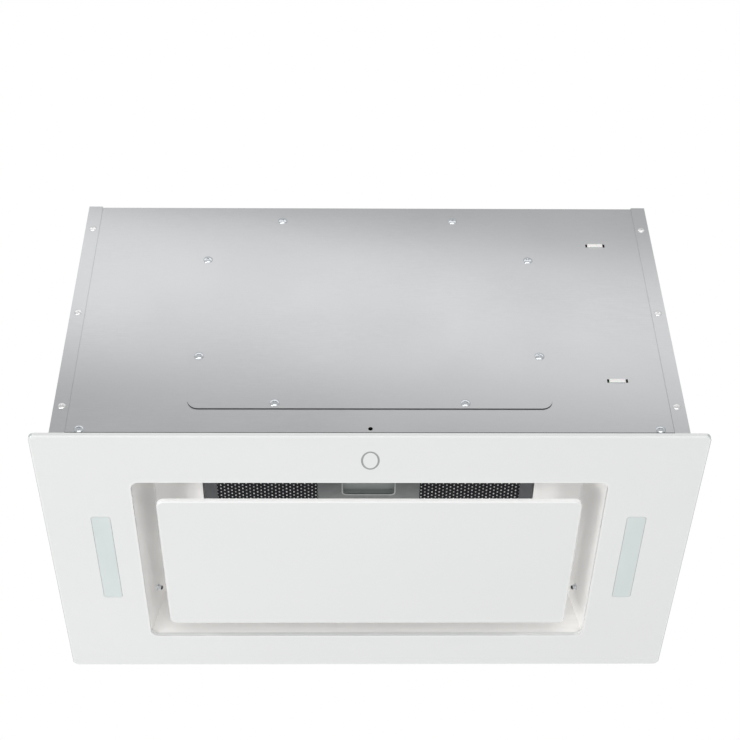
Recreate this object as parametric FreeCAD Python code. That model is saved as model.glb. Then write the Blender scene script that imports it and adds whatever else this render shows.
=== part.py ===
import FreeCAD, Part
import math
import os

V = FreeCAD.Vector

# Built-in ceiling range hood.  Millimetres, +Z up, the front faces -Y.
# The origin is the middle of the glass frame, in the plane of the ceiling it
# seats against: the glass hangs below z = 0 and the housing stands above it.

# ---------------------------------------------------------------- glass frame
GLASS_W = 720.0          # outer width
GLASS_D = 414.0          # outer depth
GLASS_T = 5.0            # thickness of the frame and of the centre panel
GLASS_CORNER_R = 7.0
GLASS_ARRIS = 1.0        # ground edge round the underside
SIDE_BAND = 100.5        # glass left and right of the opening
FRONT_BAND = 74.0        # glass in front of the opening
BACK_BAND = 60.0         # glass behind the opening
OPENING_R = 10.0

# ---------------------------------------------------------------------- lamps
LAMP_W = 21.6
LAMP_L = 146.0
LAMP_R = 3.5
LAMP_INSET = 27.1        # glass between opening and lamp window
LAMP_Y = -2.7
LAMP_TRAY_H = 20.0
LENS_FIT = 0.3           # gap round a lens in its window
LENS_FLANGE = 3.5        # lip of a lens above the glass
LENS_FLANGE_T = 1.2
LAMP_TRAY_LIP = 5.0
LED_BOARD_W = 18.0
LED_BOARD_L = 138.0
LED_COUNT = 8
LED_SIZE = 5.0
LED_T = 1.0

# -------------------------------------------------------------------- housing
OVERHANG_SIDE = 20.0     # glass beyond the housing, left and right
OVERHANG_END = 8.0       # glass beyond the housing, front and back
HOUSING_H = 384.5        # top of the side walls above the ceiling plane
SHEET = 1.0              # galvanised sheet
FLANGE_W = 16.5          # turned edge of a side wall
FLANGE_SNIP = 1.5        # snipped corner of a flange
RETURN_W = 16.0          # folded top edge of the front and back walls
BOND_T = 1.0             # adhesive between glass and pan
BOND_SETBACK = 6.0
PAN_LIP_H = 24.0         # upturned edge of the base pan

# ------------------------------------------------------------------ fasteners
RIVET_INSET = 9.0
RIVET_LOW = 46.5
RIVET_HIGH = 42.0
RIVET_COUNT = 3
RIVET_CLEAR = 12.0       # rivets of the top sheet from the hanging plates
RIVET_R = 1.6
RIVET_HEAD_R = 3.6
RIVET_HEAD_H = 1.3
RIVET_GRIP = 2.5         # shank below the two sheets
SCREW_R = 2.0
SCREW_HEAD_R = 5.0
SCREW_HEAD_H = 2.1
SCREW_LENGTH = 7.0
HOLE_FIT = 0.2           # radial clearance of a fastener hole
BASE_SCREW_INSET = 31.0
BASE_SCREW_Z = 13.5
EARTH_HOLE_R = 2.5
EARTH_HOLE_Z = 14.4

# --------------------------------------------------------------- access plate
PLATE_W = 394.0
PLATE_LOW = 43.5
PLATE_HIGH = 16.5
PLATE_R = 12.0
PLATE_SCREW_INSET = 8.0
PLATE_SCREW_X = 103.0
PLATE_SCREW_Z = 81.0
PLATE_MARGIN = 17.0      # plate beyond the opening that it covers
PLATE_OPENING_R = 8.0

# ----------------------------------------------------- cable ties and harness
TIE_INSET = 68.2         # middle of a tie inside the right side wall
TIE_SPAN = 17.0          # between the middles of a tie's two legs
TIE_LOW_Z = 86.4
TIE_HIGH = 70.5          # upper tie below the top of the side walls
TIE_W = 4.6
TIE_T = 1.3
TIE_BEND_R = 1.5
TIE_HEAD_W = 7.0
TIE_HEAD_T = 5.0
TIE_HOLE_W = 4.0
TIE_HOLE_GAP = 0.4       # hole round the tie, inside and above
HARNESS_R = 3.5
HARNESS_GAP = 2.0        # harness behind the front wall's sheet
HARNESS_Z = 12.0
HARNESS_BEND = 20.0
HARNESS_RUN = 40.0       # last straight run before the touch board
HARNESS_TIE_GAP = 0.3

# ---------------------------------------------------------------- recess tray
RECESS_H = 55.0          # underside of the tray's ceiling
RECESS_LEAN = 15.0       # how far each wall leans in over that height
TRAY_SETBACK = 0.5       # mouth of the tray behind the glass edge
TRAY_T = 1.0
TRAY_LIFT = 0.3          # lower lip above the glass
TRAY_FLANGE = 12.0
PAN_FIT = 1.4            # pan opening beyond the tray's mouth
PAN_CORNER_R = 1.0
NUT_Y_INSET = 47.0       # rivet nuts in front of the opening's back edge
NUT_Z = 33.0
NUT_R = 2.7
NUT_BORE_R = 1.7
NUT_FLANGE_R = 3.9
NUT_FLANGE_T = 0.7
NUT_STAND = 4.5          # how far the nuts stand out into the recess
NUT_LENGTH = 9.0

# --------------------------------------------------------------- centre panel
PANEL_GAP_SIDE = 25.5
PANEL_GAP_END = 29.0
PANEL_PROUD = 2.5        # underside of the panel below the frame's
PANEL_R = 9.0
PANEL_BOND_T = 1.0
PANEL_BOND_W = 22.0      # width of the band of adhesive
PANEL_BOND_INSET = 4.0   # that band inside the carrier's edge
CARRIER_SIDE = 15.0      # carrier inside the glass, left and right
CARRIER_FRONT = 19.0
CARRIER_BACK = 6.0
CARRIER_T = 1.0
CARRIER_RIM = 6.5
HINGE_INSET = 39.0       # hinge axis in front of the opening's back edge
HINGE_Z = 12.0
HINGE_PIN_R = 2.5
HINGE_PIN_FIT = 0.05
HINGE_HEAD_R = 4.0
HINGE_HEAD_T = 1.5
EAR_R = 7.0
EAR_T = 2.0
EAR_GAP = 1.0
BRACKET_FOOT = 24.0
CATCH_Y = -20.0
MAGNET_L = 20.0
MAGNET_W = 14.0
MAGNET_H = 8.0
MAGNET_GAP = 0.3
STRIKE_T = 1.2

# --------------------------------------------------------------------- filter
FILTER_W = 376.0
FILTER_D = 190.0
FILTER_T = 9.5
FILTER_FIT = 1.2
FILTER_BORDER = 15.0
FILTER_SKIN = 1.0
FACE_T = 0.8
SEAT_LIP = 11.0
SEAT_FOOT = 12.0
SEAT_GAP = 0.5           # filter's top below the seat's lip
PERF_PITCH = 15.0
PERF_R = 5.2
PERF_MARGIN = 7.0
BACK_COLUMN_COUNT = 6
BACK_ROW_COUNT = 3
BACK_WEB = 8.0
FILTER_PIN_R = 2.0
FILTER_PIN_L = 5.0
FILTER_PIN_X = 120.0
HANDLE_W = 117.0
HANDLE_D = 38.0
HANDLE_FRONT = 12.0      # handle plate behind the filter's front edge
HANDLE_WALL = 2.0
POCKET_W = 58.8
POCKET_D = 24.0
POCKET_BACK = 7.0        # pocket in front of the plate's back edge
POCKET_R = 4.0
POCKET_DEPTH = 6.5
POCKET_RIM_W = 1.4
POCKET_RIM_H = 0.5
LATCH_TRAVEL = 6.0
LATCH_REACH = 6.2        # tongue beyond the filter's front edge
TONGUE_W = 30.0
TONGUE_T = 2.0
TONGUE_Z = 3.2           # tongue above the filter's face
TAB_W = 48.0
TAB_D = 6.0
LATCH_FIT = 0.3

# --------------------------------------------------------------------- blower
BLOWER_CLEAR = 15.8      # scroll above the filter's seat
NECK_H = 39.5            # outlet neck above the scroll's nose
SPIRAL_GROWTH = 14.0     # in each quarter turn
OUTLET_W = 150.0
BLOWER_W = 150.0
BLOWER_T = 1.2
NOSE_R = 6.0
BLOWER_FLANGE = 15.0
INLET_LAP = 25.0         # inlet ring inside the impeller's outside
INLET_DEPTH = 9.0
INLET_FLARE = 9.0
IMPELLER_CLEAR = 15.0    # impeller inside the scroll's first radius
BLADE_DEPTH = 16.0
IMPELLER_SIDE = 13.0     # impeller inside each side plate
IMPELLER_OFFSET = 5.0
BLADE_COUNT = 30
BLADE_T = 1.2
BLADE_BULGE = 3.4
BLADE_LEAD = 9.0         # degrees from a blade's foot to its tip
RIM_T = 3.0
RIM_R = 4.0
HUB_R = 12.0
HUB_L = 20.0
DISC_T = 1.6
SHAFT_R = 4.0
SHAFT_FIT = 0.05
SHAFT_NOSE = 24.0
MOTOR_CLEAR = 43.0       # motor inside the ring of blades
MOTOR_L = 74.0
MOTOR_START = 12.0
MOTOR_BOSS_R = 16.0
MOTOR_BOSS_L = 3.0
BRACKET_T = 3.0
BRACKET_ARMS = 3
BRACKET_ARM_W = 14.0
BRACKET_HUB_R = 36.0
BRACKET_POST = 6.0
MOTOR_SCREW_CIRCLE = 26.0
CAPACITOR_R = 16.0
CAPACITOR_L = 60.0
CAPACITOR_RISE = 70.0    # middle of the capacitor above the scroll's centre
CLIP_T = 1.5
CLIP_W = 16.0

# --------------------------------------------------------------- outlet collar
DUCT_R = 74.5            # outside of the collar, for 150 mm duct
COLLAR_T = 1.5
COLLAR_H = 60.0
LEDGE_R = 66.0
COLLAR_FLANGE = 90.0     # half width of the square flange
COLLAR_SCREW = 82.0
FLAP_R = 72.0
FLAP_T = 1.5
FLAP_AXIS_X = 4.0
FLAP_AXIS_Z = 3.5        # axis above the ledge
FLAP_BARREL_R = 2.5
FLAP_BARREL_GAP = 2.5    # barrel's ends inside the leaf's rim
FLAP_PIN_R = 1.5
FLAP_PIN_FIT = 0.05
FLAP_GAP = 0.3
FLAP_SETBACK = 0.6       # straight edge of a leaf from its axis

# ---------------------------------------------------- controls and inlet gland
TOUCH_INSET = 38.0
TOUCH_PAD_R = 9.0
TOUCH_PAD_H = 2.4
TOUCH_HOLE_R = 12.0
TOUCH_BOARD_W = 64.0
TOUCH_BOARD_D = 28.0
BOARD_T = 1.6
COVER_WALL = 2.0
COVER_GAP = 3.0
COVER_H = 15.0
COVER_POST = 5.0
BOX_W = 131.0
BOX_D = 85.0
BOX_H = 50.0
BOX_INSET_X = 59.0       # control box inside the right side wall
BOX_INSET_Y = 53.0       # control box behind the front wall
BOX_WALL = 2.0
BOX_BOARD_Z = 12.0
BOX_BOARD_GAP = 1.0
BOX_POST = 8.0
TRANSFORMER = (35.0, 32.0, 26.0)
TERMINALS = (40.0, 16.0, 14.0)
BOARD_EDGE = 22.0        # transformer and terminals inside the board's edge
GLAND_INSET_X = 90.0
GLAND_INSET_Y = 79.0
GLAND_BORE_R = 5.0
GLAND_R = 8.0
GLAND_NUT_R = 12.0
GLAND_NUT_T = 6.0
GLAND_H = 12.0
HANGER_INSET_X = 28.0
HANGER_INSET_Y = 41.0
HANGER_R = 4.25
HANGER_PLATE = 44.0
HANGER_PLATE_T = 2.0

# ------------------------------------------------------------- derived places
HALF_W = GLASS_W / 2 - OVERHANG_SIDE
HALF_D = GLASS_D / 2 - OVERHANG_END
OPEN_W = GLASS_W - 2 * SIDE_BAND
OPEN_FRONT = -GLASS_D / 2 + FRONT_BAND
OPEN_BACK = GLASS_D / 2 - BACK_BAND
OPEN_D = OPEN_BACK - OPEN_FRONT
OPEN_Y = (OPEN_BACK + OPEN_FRONT) / 2
LAMP_X = OPEN_W / 2 + LAMP_INSET + LAMP_W / 2
ROOF_TOP = HOUSING_H - SHEET
ROOF = ROOF_TOP - SHEET
WALL_FACE = HALF_D - SHEET                 # outside of the front and back walls
PAN_Z = BOND_T                             # underside of the base pan
PAN_TOP = PAN_Z + SHEET
RIVET_STEP = (HOUSING_H - RIVET_LOW - RIVET_HIGH) / (RIVET_COUNT - 1)
RIVET_ZS = [RIVET_LOW + i * RIVET_STEP for i in range(RIVET_COUNT)]
RIVET_X = HALF_W - RIVET_INSET
BASE_SCREW_X = HALF_W - BASE_SCREW_INSET
PLATE_Z0 = PLATE_LOW
PLATE_Z1 = ROOF - PLATE_HIGH
PLATE_MID = (PLATE_Z0 + PLATE_Z1) / 2
SLOPE = RECESS_LEAN / RECESS_H
MOUTH_HALF = OPEN_W / 2 + TRAY_SETBACK
FILTER_Z = RECESS_H                        # underside of the filter
SEAT_Z = RECESS_H + TRAY_T
SEAT_TOP = FILTER_Z + FILTER_T + SEAT_GAP + TRAY_T
FILTER_FRONT = OPEN_Y - FILTER_D / 2
FILTER_BACK = OPEN_Y + FILTER_D / 2
PANEL_W = OPEN_W - 2 * PANEL_GAP_SIDE
PANEL_FRONT = OPEN_FRONT + PANEL_GAP_END
PANEL_BACK = OPEN_BACK - PANEL_GAP_END
PANEL_D = PANEL_BACK - PANEL_FRONT
PANEL_TOP = -PANEL_PROUD
CARRIER_Z = PANEL_TOP + PANEL_BOND_T
CARRIER_HALF = PANEL_W / 2 - CARRIER_SIDE
CARRIER_Y0 = PANEL_FRONT + CARRIER_FRONT
CARRIER_Y1 = PANEL_BACK - CARRIER_BACK
HINGE_Y = OPEN_BACK - HINGE_INSET
EAR_X = CARRIER_HALF - CARRIER_T - EAR_GAP - EAR_T   # inner face of a bracket ear
STRIKE_TOP = CARRIER_Z + CARRIER_T + STRIKE_T
HANDLE_Y0 = FILTER_FRONT + HANDLE_FRONT
HANDLE_Y1 = HANDLE_Y0 + HANDLE_D
POCKET_Y1 = HANDLE_Y1 - POCKET_BACK
POCKET_Y0 = POCKET_Y1 - POCKET_D
SPIRAL_ROOM = ROOF - SEAT_TOP - BLOWER_CLEAR - NECK_H - NOSE_R - SPIRAL_GROWTH - BLOWER_T
SPIRAL_R = SPIRAL_ROOM / 2
BLOWER_Z = ROOF - NECK_H - NOSE_R - SPIRAL_R
BLOWER_X = OUTLET_W / 2 - SPIRAL_R - 3 * SPIRAL_GROWTH
IMPELLER_R = SPIRAL_R - IMPELLER_CLEAR
IMPELLER_BORE_R = IMPELLER_R - BLADE_DEPTH
IMPELLER_W = BLOWER_W - 2 * IMPELLER_SIDE
INLET_R = IMPELLER_R - INLET_LAP
MOTOR_R = IMPELLER_BORE_R - MOTOR_CLEAR
FAN_X = BLOWER_X + IMPELLER_OFFSET
FAN_Z = BLOWER_Z + IMPELLER_OFFSET
TOUCH_Y = -GLASS_D / 2 + TOUCH_INSET
FLAP_Z = ROOF_TOP + COLLAR_T + FLAP_AXIS_Z
HANGER_X = HALF_W - HANGER_INSET_X
HANGER_Y = HALF_D - HANGER_INSET_Y
TIE_X = HALF_W - TIE_INSET
BOX_X1 = HALF_W - BOX_INSET_X
BOX_X0 = BOX_X1 - BOX_W
BOX_Y0 = -WALL_FACE + BOX_INSET_Y
BOX_Y1 = BOX_Y0 + BOX_D
GLAND_X = HALF_W - GLAND_INSET_X
GLAND_Y = HALF_D - GLAND_INSET_Y
HARNESS_Y = -WALL_FACE + SHEET + HARNESS_GAP + HARNESS_R


# -------------------------------------------------------------------- helpers
def box(x0, x1, y0, y1, z0, z1):
    """Block between two corners."""
    return Part.makeBox(x1 - x0, y1 - y0, z1 - z0, V(x0, y0, z0))


def rod(x, y, z, axis, radius, length):
    """Cylinder that starts at a point and runs along an axis."""
    return Part.makeCylinder(radius, length, V(x, y, z), V(*axis))


def round_wire(cx, cy, w, d, r, z):
    """Level rectangle with round corners."""
    a, b = w / 2, d / 2
    cut = r * (1 - math.sqrt(0.5))
    corners = [(1, -1), (1, 1), (-1, 1), (-1, -1)]
    edges = []
    last = None
    for sx, sy in corners:
        along_y = V(cx + sx * a, cy + sy * (b - r), z)
        along_x = V(cx + sx * (a - r), cy + sy * b, z)
        middle = V(cx + sx * (a - cut), cy + sy * (b - cut), z)
        start, end = (along_x, along_y) if sx * sy < 0 else (along_y, along_x)
        if last is not None:
            edges.append(Part.LineSegment(last, start).toShape())
        else:
            first = start
        edges.append(Part.Arc(start, middle, end).toShape())
        last = end
    edges.append(Part.LineSegment(last, first).toShape())
    return Part.Wire(edges)


def plate(cx, cy, w, d, z0, z1, r):
    """Level plate with round corners."""
    return Part.Face(round_wire(cx, cy, w, d, r, z0)).extrude(V(0, 0, z1 - z0))


def upright_plate(cx, cz, w, h, y0, y1, r):
    """Plate with round corners that stands across Y."""
    flat = plate(cx, 0, w, h, 0, y1 - y0, r)
    flat.rotate(V(0, 0, 0), V(1, 0, 0), 90)
    flat.translate(V(0, y1, cz))
    return flat


def spun(points, x, y, z, axis):
    """Solid of revolution of an (r, height) outline, turned onto an axis."""
    outline = Part.makePolygon([V(r, 0, h) for r, h in points + points[:1]])
    solid = Part.Face(outline).revolve(V(0, 0, 0), V(0, 0, 1), 360)
    turn = FreeCAD.Rotation(V(0, 0, 1), V(*axis))
    solid.Placement = FreeCAD.Placement(V(x, y, z), turn)
    return solid


def mirrored(shape):
    """The same piece on the other side, left for right."""
    return shape.mirror(V(0, 0, 0), V(1, 0, 0))


def both_sides(shape):
    """A piece and its left-hand twin as one group of solids."""
    return Part.makeCompound([shape, mirrored(shape)])


def fused(first, *others):
    return first.multiFuse(list(others)).removeSplitter()


def screw(x, y, z, axis, head_r=SCREW_HEAD_R):
    """Pan-head screw; the axis points from its shank to its head."""
    outline = [
        (0, -SCREW_LENGTH),
        (SCREW_R, -SCREW_LENGTH),
        (SCREW_R, 0),
        (head_r, 0),
        (head_r * 0.7, SCREW_HEAD_H),
        (0, SCREW_HEAD_H),
    ]
    return spun(outline, x, y, z, axis)


def rivet(x, y, z, axis):
    """Domed pop rivet with its shank through two sheets."""
    depth = 2 * SHEET + RIVET_GRIP
    outline = [
        (0, -depth),
        (RIVET_R, -depth),
        (RIVET_R, 0),
        (RIVET_HEAD_R, 0),
        (RIVET_HEAD_R * 0.6, RIVET_HEAD_H),
        (0, RIVET_HEAD_H),
    ]
    return spun(outline, x, y, z, axis)


def holes_across_y(points, radius):
    """Drills along Y through the whole depth of the front or back wall."""
    reach = GLASS_D
    return [rod(x, -reach / 2, z, (0, 1, 0), radius, reach) for x, z in points]


# ---------------------------------------------------------------------- glass
def lamp_window(side, grow, z0, z1):
    """Upright block over a lamp window, grown by a margin."""
    w = LAMP_W + 2 * grow
    length = LAMP_L + 2 * grow
    return plate(side * LAMP_X, LAMP_Y, w, length, z0, z1, LAMP_R)


def opening_block(grow, z0, z1, r=OPENING_R):
    """Upright block over the suction opening, grown by a margin."""
    return plate(0, OPEN_Y, OPEN_W + 2 * grow, OPEN_D + 2 * grow, z0, z1, r)


def ground_edge(slab, z):
    """Grinds the long lower arris of a glass pane."""
    low = [e for e in slab.Edges if e.BoundBox.ZMax < z + 0.01]
    return slab.makeChamfer(GLASS_ARRIS, low)


def glass_frame():
    slab = plate(0, 0, GLASS_W, GLASS_D, -GLASS_T, 0, GLASS_CORNER_R)
    slab = ground_edge(slab, -GLASS_T)
    cuts = [opening_block(0, -GLASS_T - 1, 1)]
    cuts += [lamp_window(s, 0, -GLASS_T - 1, 1) for s in (-1, 1)]
    return slab.cut(Part.makeCompound(cuts))


def glass_bond():
    """Adhesive between the glass and the base pan."""
    w = 2 * (HALF_W - BOND_SETBACK)
    d = 2 * (HALF_D - BOND_SETBACK)
    sheet = plate(0, 0, w, d, 0, BOND_T, OPENING_R)
    cuts = [opening_block(TRAY_SETBACK + TRAY_T + PAN_FIT + 1, -1, 2, PAN_CORNER_R)]
    cuts += [lamp_window(s, LENS_FLANGE + 1, -1, 2) for s in (-1, 1)]
    cuts.append(rod(0, TOUCH_Y, -1, (0, 0, 1), TOUCH_HOLE_R, 4))
    return sheet.cut(Part.makeCompound(cuts))


def centre_glass():
    z0 = PANEL_TOP - GLASS_T
    slab = plate(0, OPEN_Y, PANEL_W, PANEL_D, z0, PANEL_TOP, PANEL_R)
    return ground_edge(slab, z0)


# -------------------------------------------------------------------- housing
def base_pan():
    """Floor of the housing with its upturned edges."""
    inner_w = HALF_W - SHEET
    inner_d = WALL_FACE - SHEET
    block = box(-inner_w, inner_w, -inner_d, inner_d, PAN_Z, PAN_Z + PAN_LIP_H)
    hollow = box(
        -inner_w + SHEET, inner_w - SHEET, -inner_d + SHEET, inner_d - SHEET,
        PAN_TOP, PAN_Z + PAN_LIP_H + 1,
    )
    cuts = [hollow, opening_block(TRAY_SETBACK + PAN_FIT, 0, 4, PAN_CORNER_R)]
    cuts += [lamp_window(s, LENS_FLANGE + 0.5, 0, 4) for s in (-1, 1)]
    cuts.append(rod(0, TOUCH_Y, 0, (0, 0, 1), TOUCH_HOLE_R, 4))
    cuts += holes_across_y(base_screw_places(), SCREW_R + HOLE_FIT)
    cuts += holes_across_y([(0, EARTH_HOLE_Z)], EARTH_HOLE_R)
    return block.cut(Part.makeCompound(cuts))


def base_screw_places():
    return [(-BASE_SCREW_X, BASE_SCREW_Z), (BASE_SCREW_X, BASE_SCREW_Z)]


def flange_rivet_places():
    return [(s * RIVET_X, z) for s in (-1, 1) for z in RIVET_ZS]


def top_rivet_places():
    reach = HANGER_Y - HANGER_PLATE / 2 - RIVET_CLEAR
    return [(s * RIVET_X, y) for s in (-1, 1) for y in (-reach, 0, reach)]


def plate_screw_places():
    half_w = PLATE_W / 2 - PLATE_SCREW_INSET
    half_h = (PLATE_Z1 - PLATE_Z0) / 2 - PLATE_SCREW_INSET
    places = []
    for sx in (-1, 1):
        for sz in (-1, 1):
            places.append((sx * PLATE_SCREW_X, PLATE_MID + sz * half_h))
            places.append((sx * half_w, PLATE_MID + sz * PLATE_SCREW_Z))
    return places


def tie_zs():
    return (TIE_LOW_Z, HOUSING_H - TIE_HIGH)


def plain_wall(inward):
    """Front (inward = 1) or back (-1) wall with its folded top edge."""
    face = -inward * WALL_FACE
    sheet = sorted((face, face + inward * SHEET))
    fold = sorted((face, face + inward * RETURN_W))
    inner = HALF_W - SHEET
    wall = box(-inner, inner, sheet[0], sheet[1], PAN_Z, ROOF)
    top = box(-inner, inner, fold[0], fold[1], ROOF - SHEET, ROOF)
    holes = holes_across_y(flange_rivet_places(), RIVET_R + HOLE_FIT)
    holes += holes_across_y(base_screw_places(), SCREW_R + HOLE_FIT)
    return fused(wall, top).cut(Part.makeCompound(holes))


def housing_front():
    w = PLATE_W - 2 * PLATE_MARGIN
    h = PLATE_Z1 - PLATE_Z0 - 2 * PLATE_MARGIN
    y0, y1 = -WALL_FACE - 1, -WALL_FACE + SHEET + 1
    cuts = [upright_plate(0, PLATE_MID, w, h, y0, y1, PLATE_OPENING_R)]
    cuts += holes_across_y(plate_screw_places(), SCREW_R + HOLE_FIT)
    cuts += holes_across_y([(0, EARTH_HOLE_Z)], EARTH_HOLE_R)
    slot_h = TIE_W + 2 * TIE_HOLE_GAP
    inner = (TIE_SPAN - TIE_T) / 2 - TIE_HOLE_GAP
    for z in tie_zs():
        for side in (-1, 1):
            x = TIE_X + side * (inner + TIE_HOLE_W / 2)
            cuts.append(upright_plate(x, z, TIE_HOLE_W, slot_h, y0, y1, TIE_HOLE_GAP))
    return plain_wall(1).cut(Part.makeCompound(cuts))


def housing_back():
    return plain_wall(-1)


def housing_side():
    """Right side wall: a web with flanges turned in at front, back and top."""
    web = box(HALF_W - SHEET, HALF_W, -HALF_D, HALF_D, PAN_Z, HOUSING_H)
    x0 = HALF_W - FLANGE_W
    front = box(x0, HALF_W, -HALF_D, -WALL_FACE, PAN_Z, HOUSING_H)
    back = box(x0, HALF_W, WALL_FACE, HALF_D, PAN_Z, HOUSING_H)
    top = box(x0, HALF_W, -WALL_FACE, WALL_FACE, ROOF_TOP, HOUSING_H)
    snip = Part.makeBox(FLANGE_SNIP * 2, GLASS_D, FLANGE_SNIP * 2)
    snip.rotate(V(0, 0, 0), V(0, 1, 0), 45)
    snip.translate(V(x0 - FLANGE_SNIP * 2, -GLASS_D / 2, HOUSING_H + FLANGE_SNIP))
    edge_strip = box(x0, HALF_W, -WALL_FACE, WALL_FACE, PAN_Z, HOUSING_H)
    cuts = holes_across_y(flange_rivet_places(), RIVET_R + HOLE_FIT)
    for x, y in top_rivet_places():
        cuts.append(rod(x, y, ROOF_TOP - 1, (0, 0, 1), RIVET_R + HOLE_FIT, SHEET + 2))
    cuts.append(snip.cut(edge_strip))
    return fused(web, front, back, top).cut(Part.makeCompound(cuts))


def housing_top():
    inner = HALF_W - SHEET
    sheet = box(-inner, inner, -WALL_FACE, WALL_FACE, ROOF, ROOF_TOP)
    cuts = [rod(0, 0, ROOF - 1, (0, 0, 1), LEDGE_R, SHEET + 2)]
    for x, y in top_rivet_places():
        cuts.append(rod(x, y, ROOF - 1, (0, 0, 1), RIVET_R + HOLE_FIT, SHEET + 2))
    for x, y in hanger_places():
        cuts.append(rod(x, y, ROOF - 1, (0, 0, 1), HANGER_R, SHEET + 2))
    for x, y in collar_screw_places():
        cuts.append(rod(x, y, ROOF - 1, (0, 0, 1), SCREW_R + HOLE_FIT, SHEET + 2))
    cuts.append(rod(GLAND_X, GLAND_Y, ROOF - 1, (0, 0, 1), GLAND_R + HOLE_FIT, SHEET + 2))
    return sheet.cut(Part.makeCompound(cuts))


def access_plate():
    h = PLATE_Z1 - PLATE_Z0
    sheet = upright_plate(0, PLATE_MID, PLATE_W, h, -HALF_D, -WALL_FACE, PLATE_R)
    holes = holes_across_y(plate_screw_places(), SCREW_R + HOLE_FIT)
    return sheet.cut(Part.makeCompound(holes))


def access_plate_screws():
    places = plate_screw_places()
    return Part.makeCompound([screw(x, -HALF_D, z, (0, -1, 0)) for x, z in places])


def base_screws():
    front = [screw(x, -WALL_FACE, z, (0, -1, 0)) for x, z in base_screw_places()]
    back = [screw(x, WALL_FACE, z, (0, 1, 0)) for x, z in base_screw_places()]
    return Part.makeCompound(front + back)


def housing_rivets():
    places = flange_rivet_places()
    rivets = [rivet(x, -HALF_D, z, (0, -1, 0)) for x, z in places]
    rivets += [rivet(x, HALF_D, z, (0, 1, 0)) for x, z in places]
    rivets += [rivet(x, y, HOUSING_H, (0, 0, 1)) for x, y in top_rivet_places()]
    return Part.makeCompound(rivets)


def hanger_places():
    return [(sx * HANGER_X, sy * HANGER_Y) for sx in (-1, 1) for sy in (-1, 1)]


def hanging_plates():
    """Stiffening plates under the four hanging holes."""
    z0 = ROOF - HANGER_PLATE_T
    plates = []
    for x, y in hanger_places():
        flat = plate(x, y, HANGER_PLATE, HANGER_PLATE, z0, ROOF, 3)
        plates.append(flat.cut(rod(x, y, z0 - 1, (0, 0, 1), HANGER_R, 5)))
    return Part.makeCompound(plates)


# ----------------------------------------------------- cable ties and harness
def cable_tie(z):
    """Nylon band through two holes of the front wall and round the harness."""
    y_out = -WALL_FACE - TIE_T
    y_in = HARNESS_Y + HARNESS_R + HARNESS_TIE_GAP + TIE_T
    w = TIE_SPAN + TIE_T
    depth = y_in - y_out
    mid = (y_in + y_out) / 2
    z0, z1 = z - TIE_W / 2, z + TIE_W / 2
    band = plate(TIE_X, mid, w, depth, z0, z1, TIE_BEND_R)
    gap = plate(
        TIE_X, mid, w - 2 * TIE_T, depth - 2 * TIE_T, z0 - 1, z1 + 1, TIE_BEND_R - TIE_T
    )
    head = box(
        TIE_X - TIE_HEAD_W / 2, TIE_X + TIE_HEAD_W / 2,
        y_in - TIE_T / 2, y_in + TIE_HEAD_T, z0 - 0.5, z1 + 0.5,
    )
    return fused(band.cut(gap), head)


def rounded_path(points, radius):
    """Straight runs joined by tangent arcs."""
    edges = []
    start = points[0]
    for i in range(1, len(points) - 1):
        before = (points[i - 1] - points[i]).normalize()
        after = (points[i + 1] - points[i]).normalize()
        half = before.getAngle(after) / 2
        reach = radius / math.tan(half)
        enter = points[i] + before * reach
        leave = points[i] + after * reach
        bisector = (before + after).normalize()
        centre = points[i] + bisector * (radius / math.sin(half))
        middle = centre - bisector * radius
        edges.append(Part.LineSegment(start, enter).toShape())
        edges.append(Part.Arc(enter, middle, leave).toShape())
        start = leave
    edges.append(Part.LineSegment(start, points[-1]).toShape())
    return Part.Wire(edges)


def wiring_harness():
    """Sleeved wires from the control box, past both ties, to the touch board."""
    cover_x = TOUCH_BOARD_W / 2 + COVER_GAP + COVER_WALL
    entry_y = TOUCH_Y - TOUCH_BOARD_D / 4
    points = [
        V(TIE_X, BOX_Y0, ROOF - BOX_H / 2),
        V(TIE_X, HARNESS_Y, ROOF - BOX_H / 2),
        V(TIE_X, HARNESS_Y, HARNESS_Z),
        V(cover_x + 2 * HARNESS_RUN, HARNESS_Y, HARNESS_Z),
        V(cover_x + HARNESS_RUN, entry_y, HARNESS_Z),
        V(cover_x, entry_y, HARNESS_Z),
    ]
    path = rounded_path(points, HARNESS_BEND)
    ring = Part.Wire(Part.makeCircle(HARNESS_R, points[0], V(0, -1, 0)))
    return path.makePipeShell([ring], True, False)


# ---------------------------------------------------------------------- lamps
def lamp_lens():
    z = -GLASS_T
    body = plate(
        LAMP_X, LAMP_Y, LAMP_W - 2 * LENS_FIT, LAMP_L - 2 * LENS_FIT, z, 0, LAMP_R - LENS_FIT
    )
    lip = lamp_window(1, LENS_FLANGE, 0, LENS_FLANGE_T)
    return fused(body, lip)


def lamp_tray():
    """Open-bottomed steel tray over a lens, flanged onto the pan."""
    z0 = LENS_FLANGE_T + LENS_FIT
    z1 = PAN_TOP + LAMP_TRAY_H
    shell = lamp_window(1, LENS_FLANGE, z0, z1)
    lip = lamp_window(1, LENS_FLANGE + LAMP_TRAY_LIP, PAN_TOP, PAN_TOP + SHEET)
    hollow = lamp_window(1, LENS_FLANGE - SHEET, z0 - 1, z1 - SHEET)
    return fused(shell, lip).cut(hollow)


def led_board():
    top = PAN_TOP + LAMP_TRAY_H - SHEET
    z0 = top - BOARD_T
    board = plate(LAMP_X, LAMP_Y, LED_BOARD_W, LED_BOARD_L, z0, top, LAMP_R)
    pitch = LED_BOARD_L / LED_COUNT
    solids = [board]
    for i in range(LED_COUNT):
        y = LAMP_Y + (i - (LED_COUNT - 1) / 2) * pitch
        half = LED_SIZE / 2
        solids.append(
            box(LAMP_X - half, LAMP_X + half, y - half, y + half, z0 - LED_T, z0)
        )
    return Part.makeCompound(solids)


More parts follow.
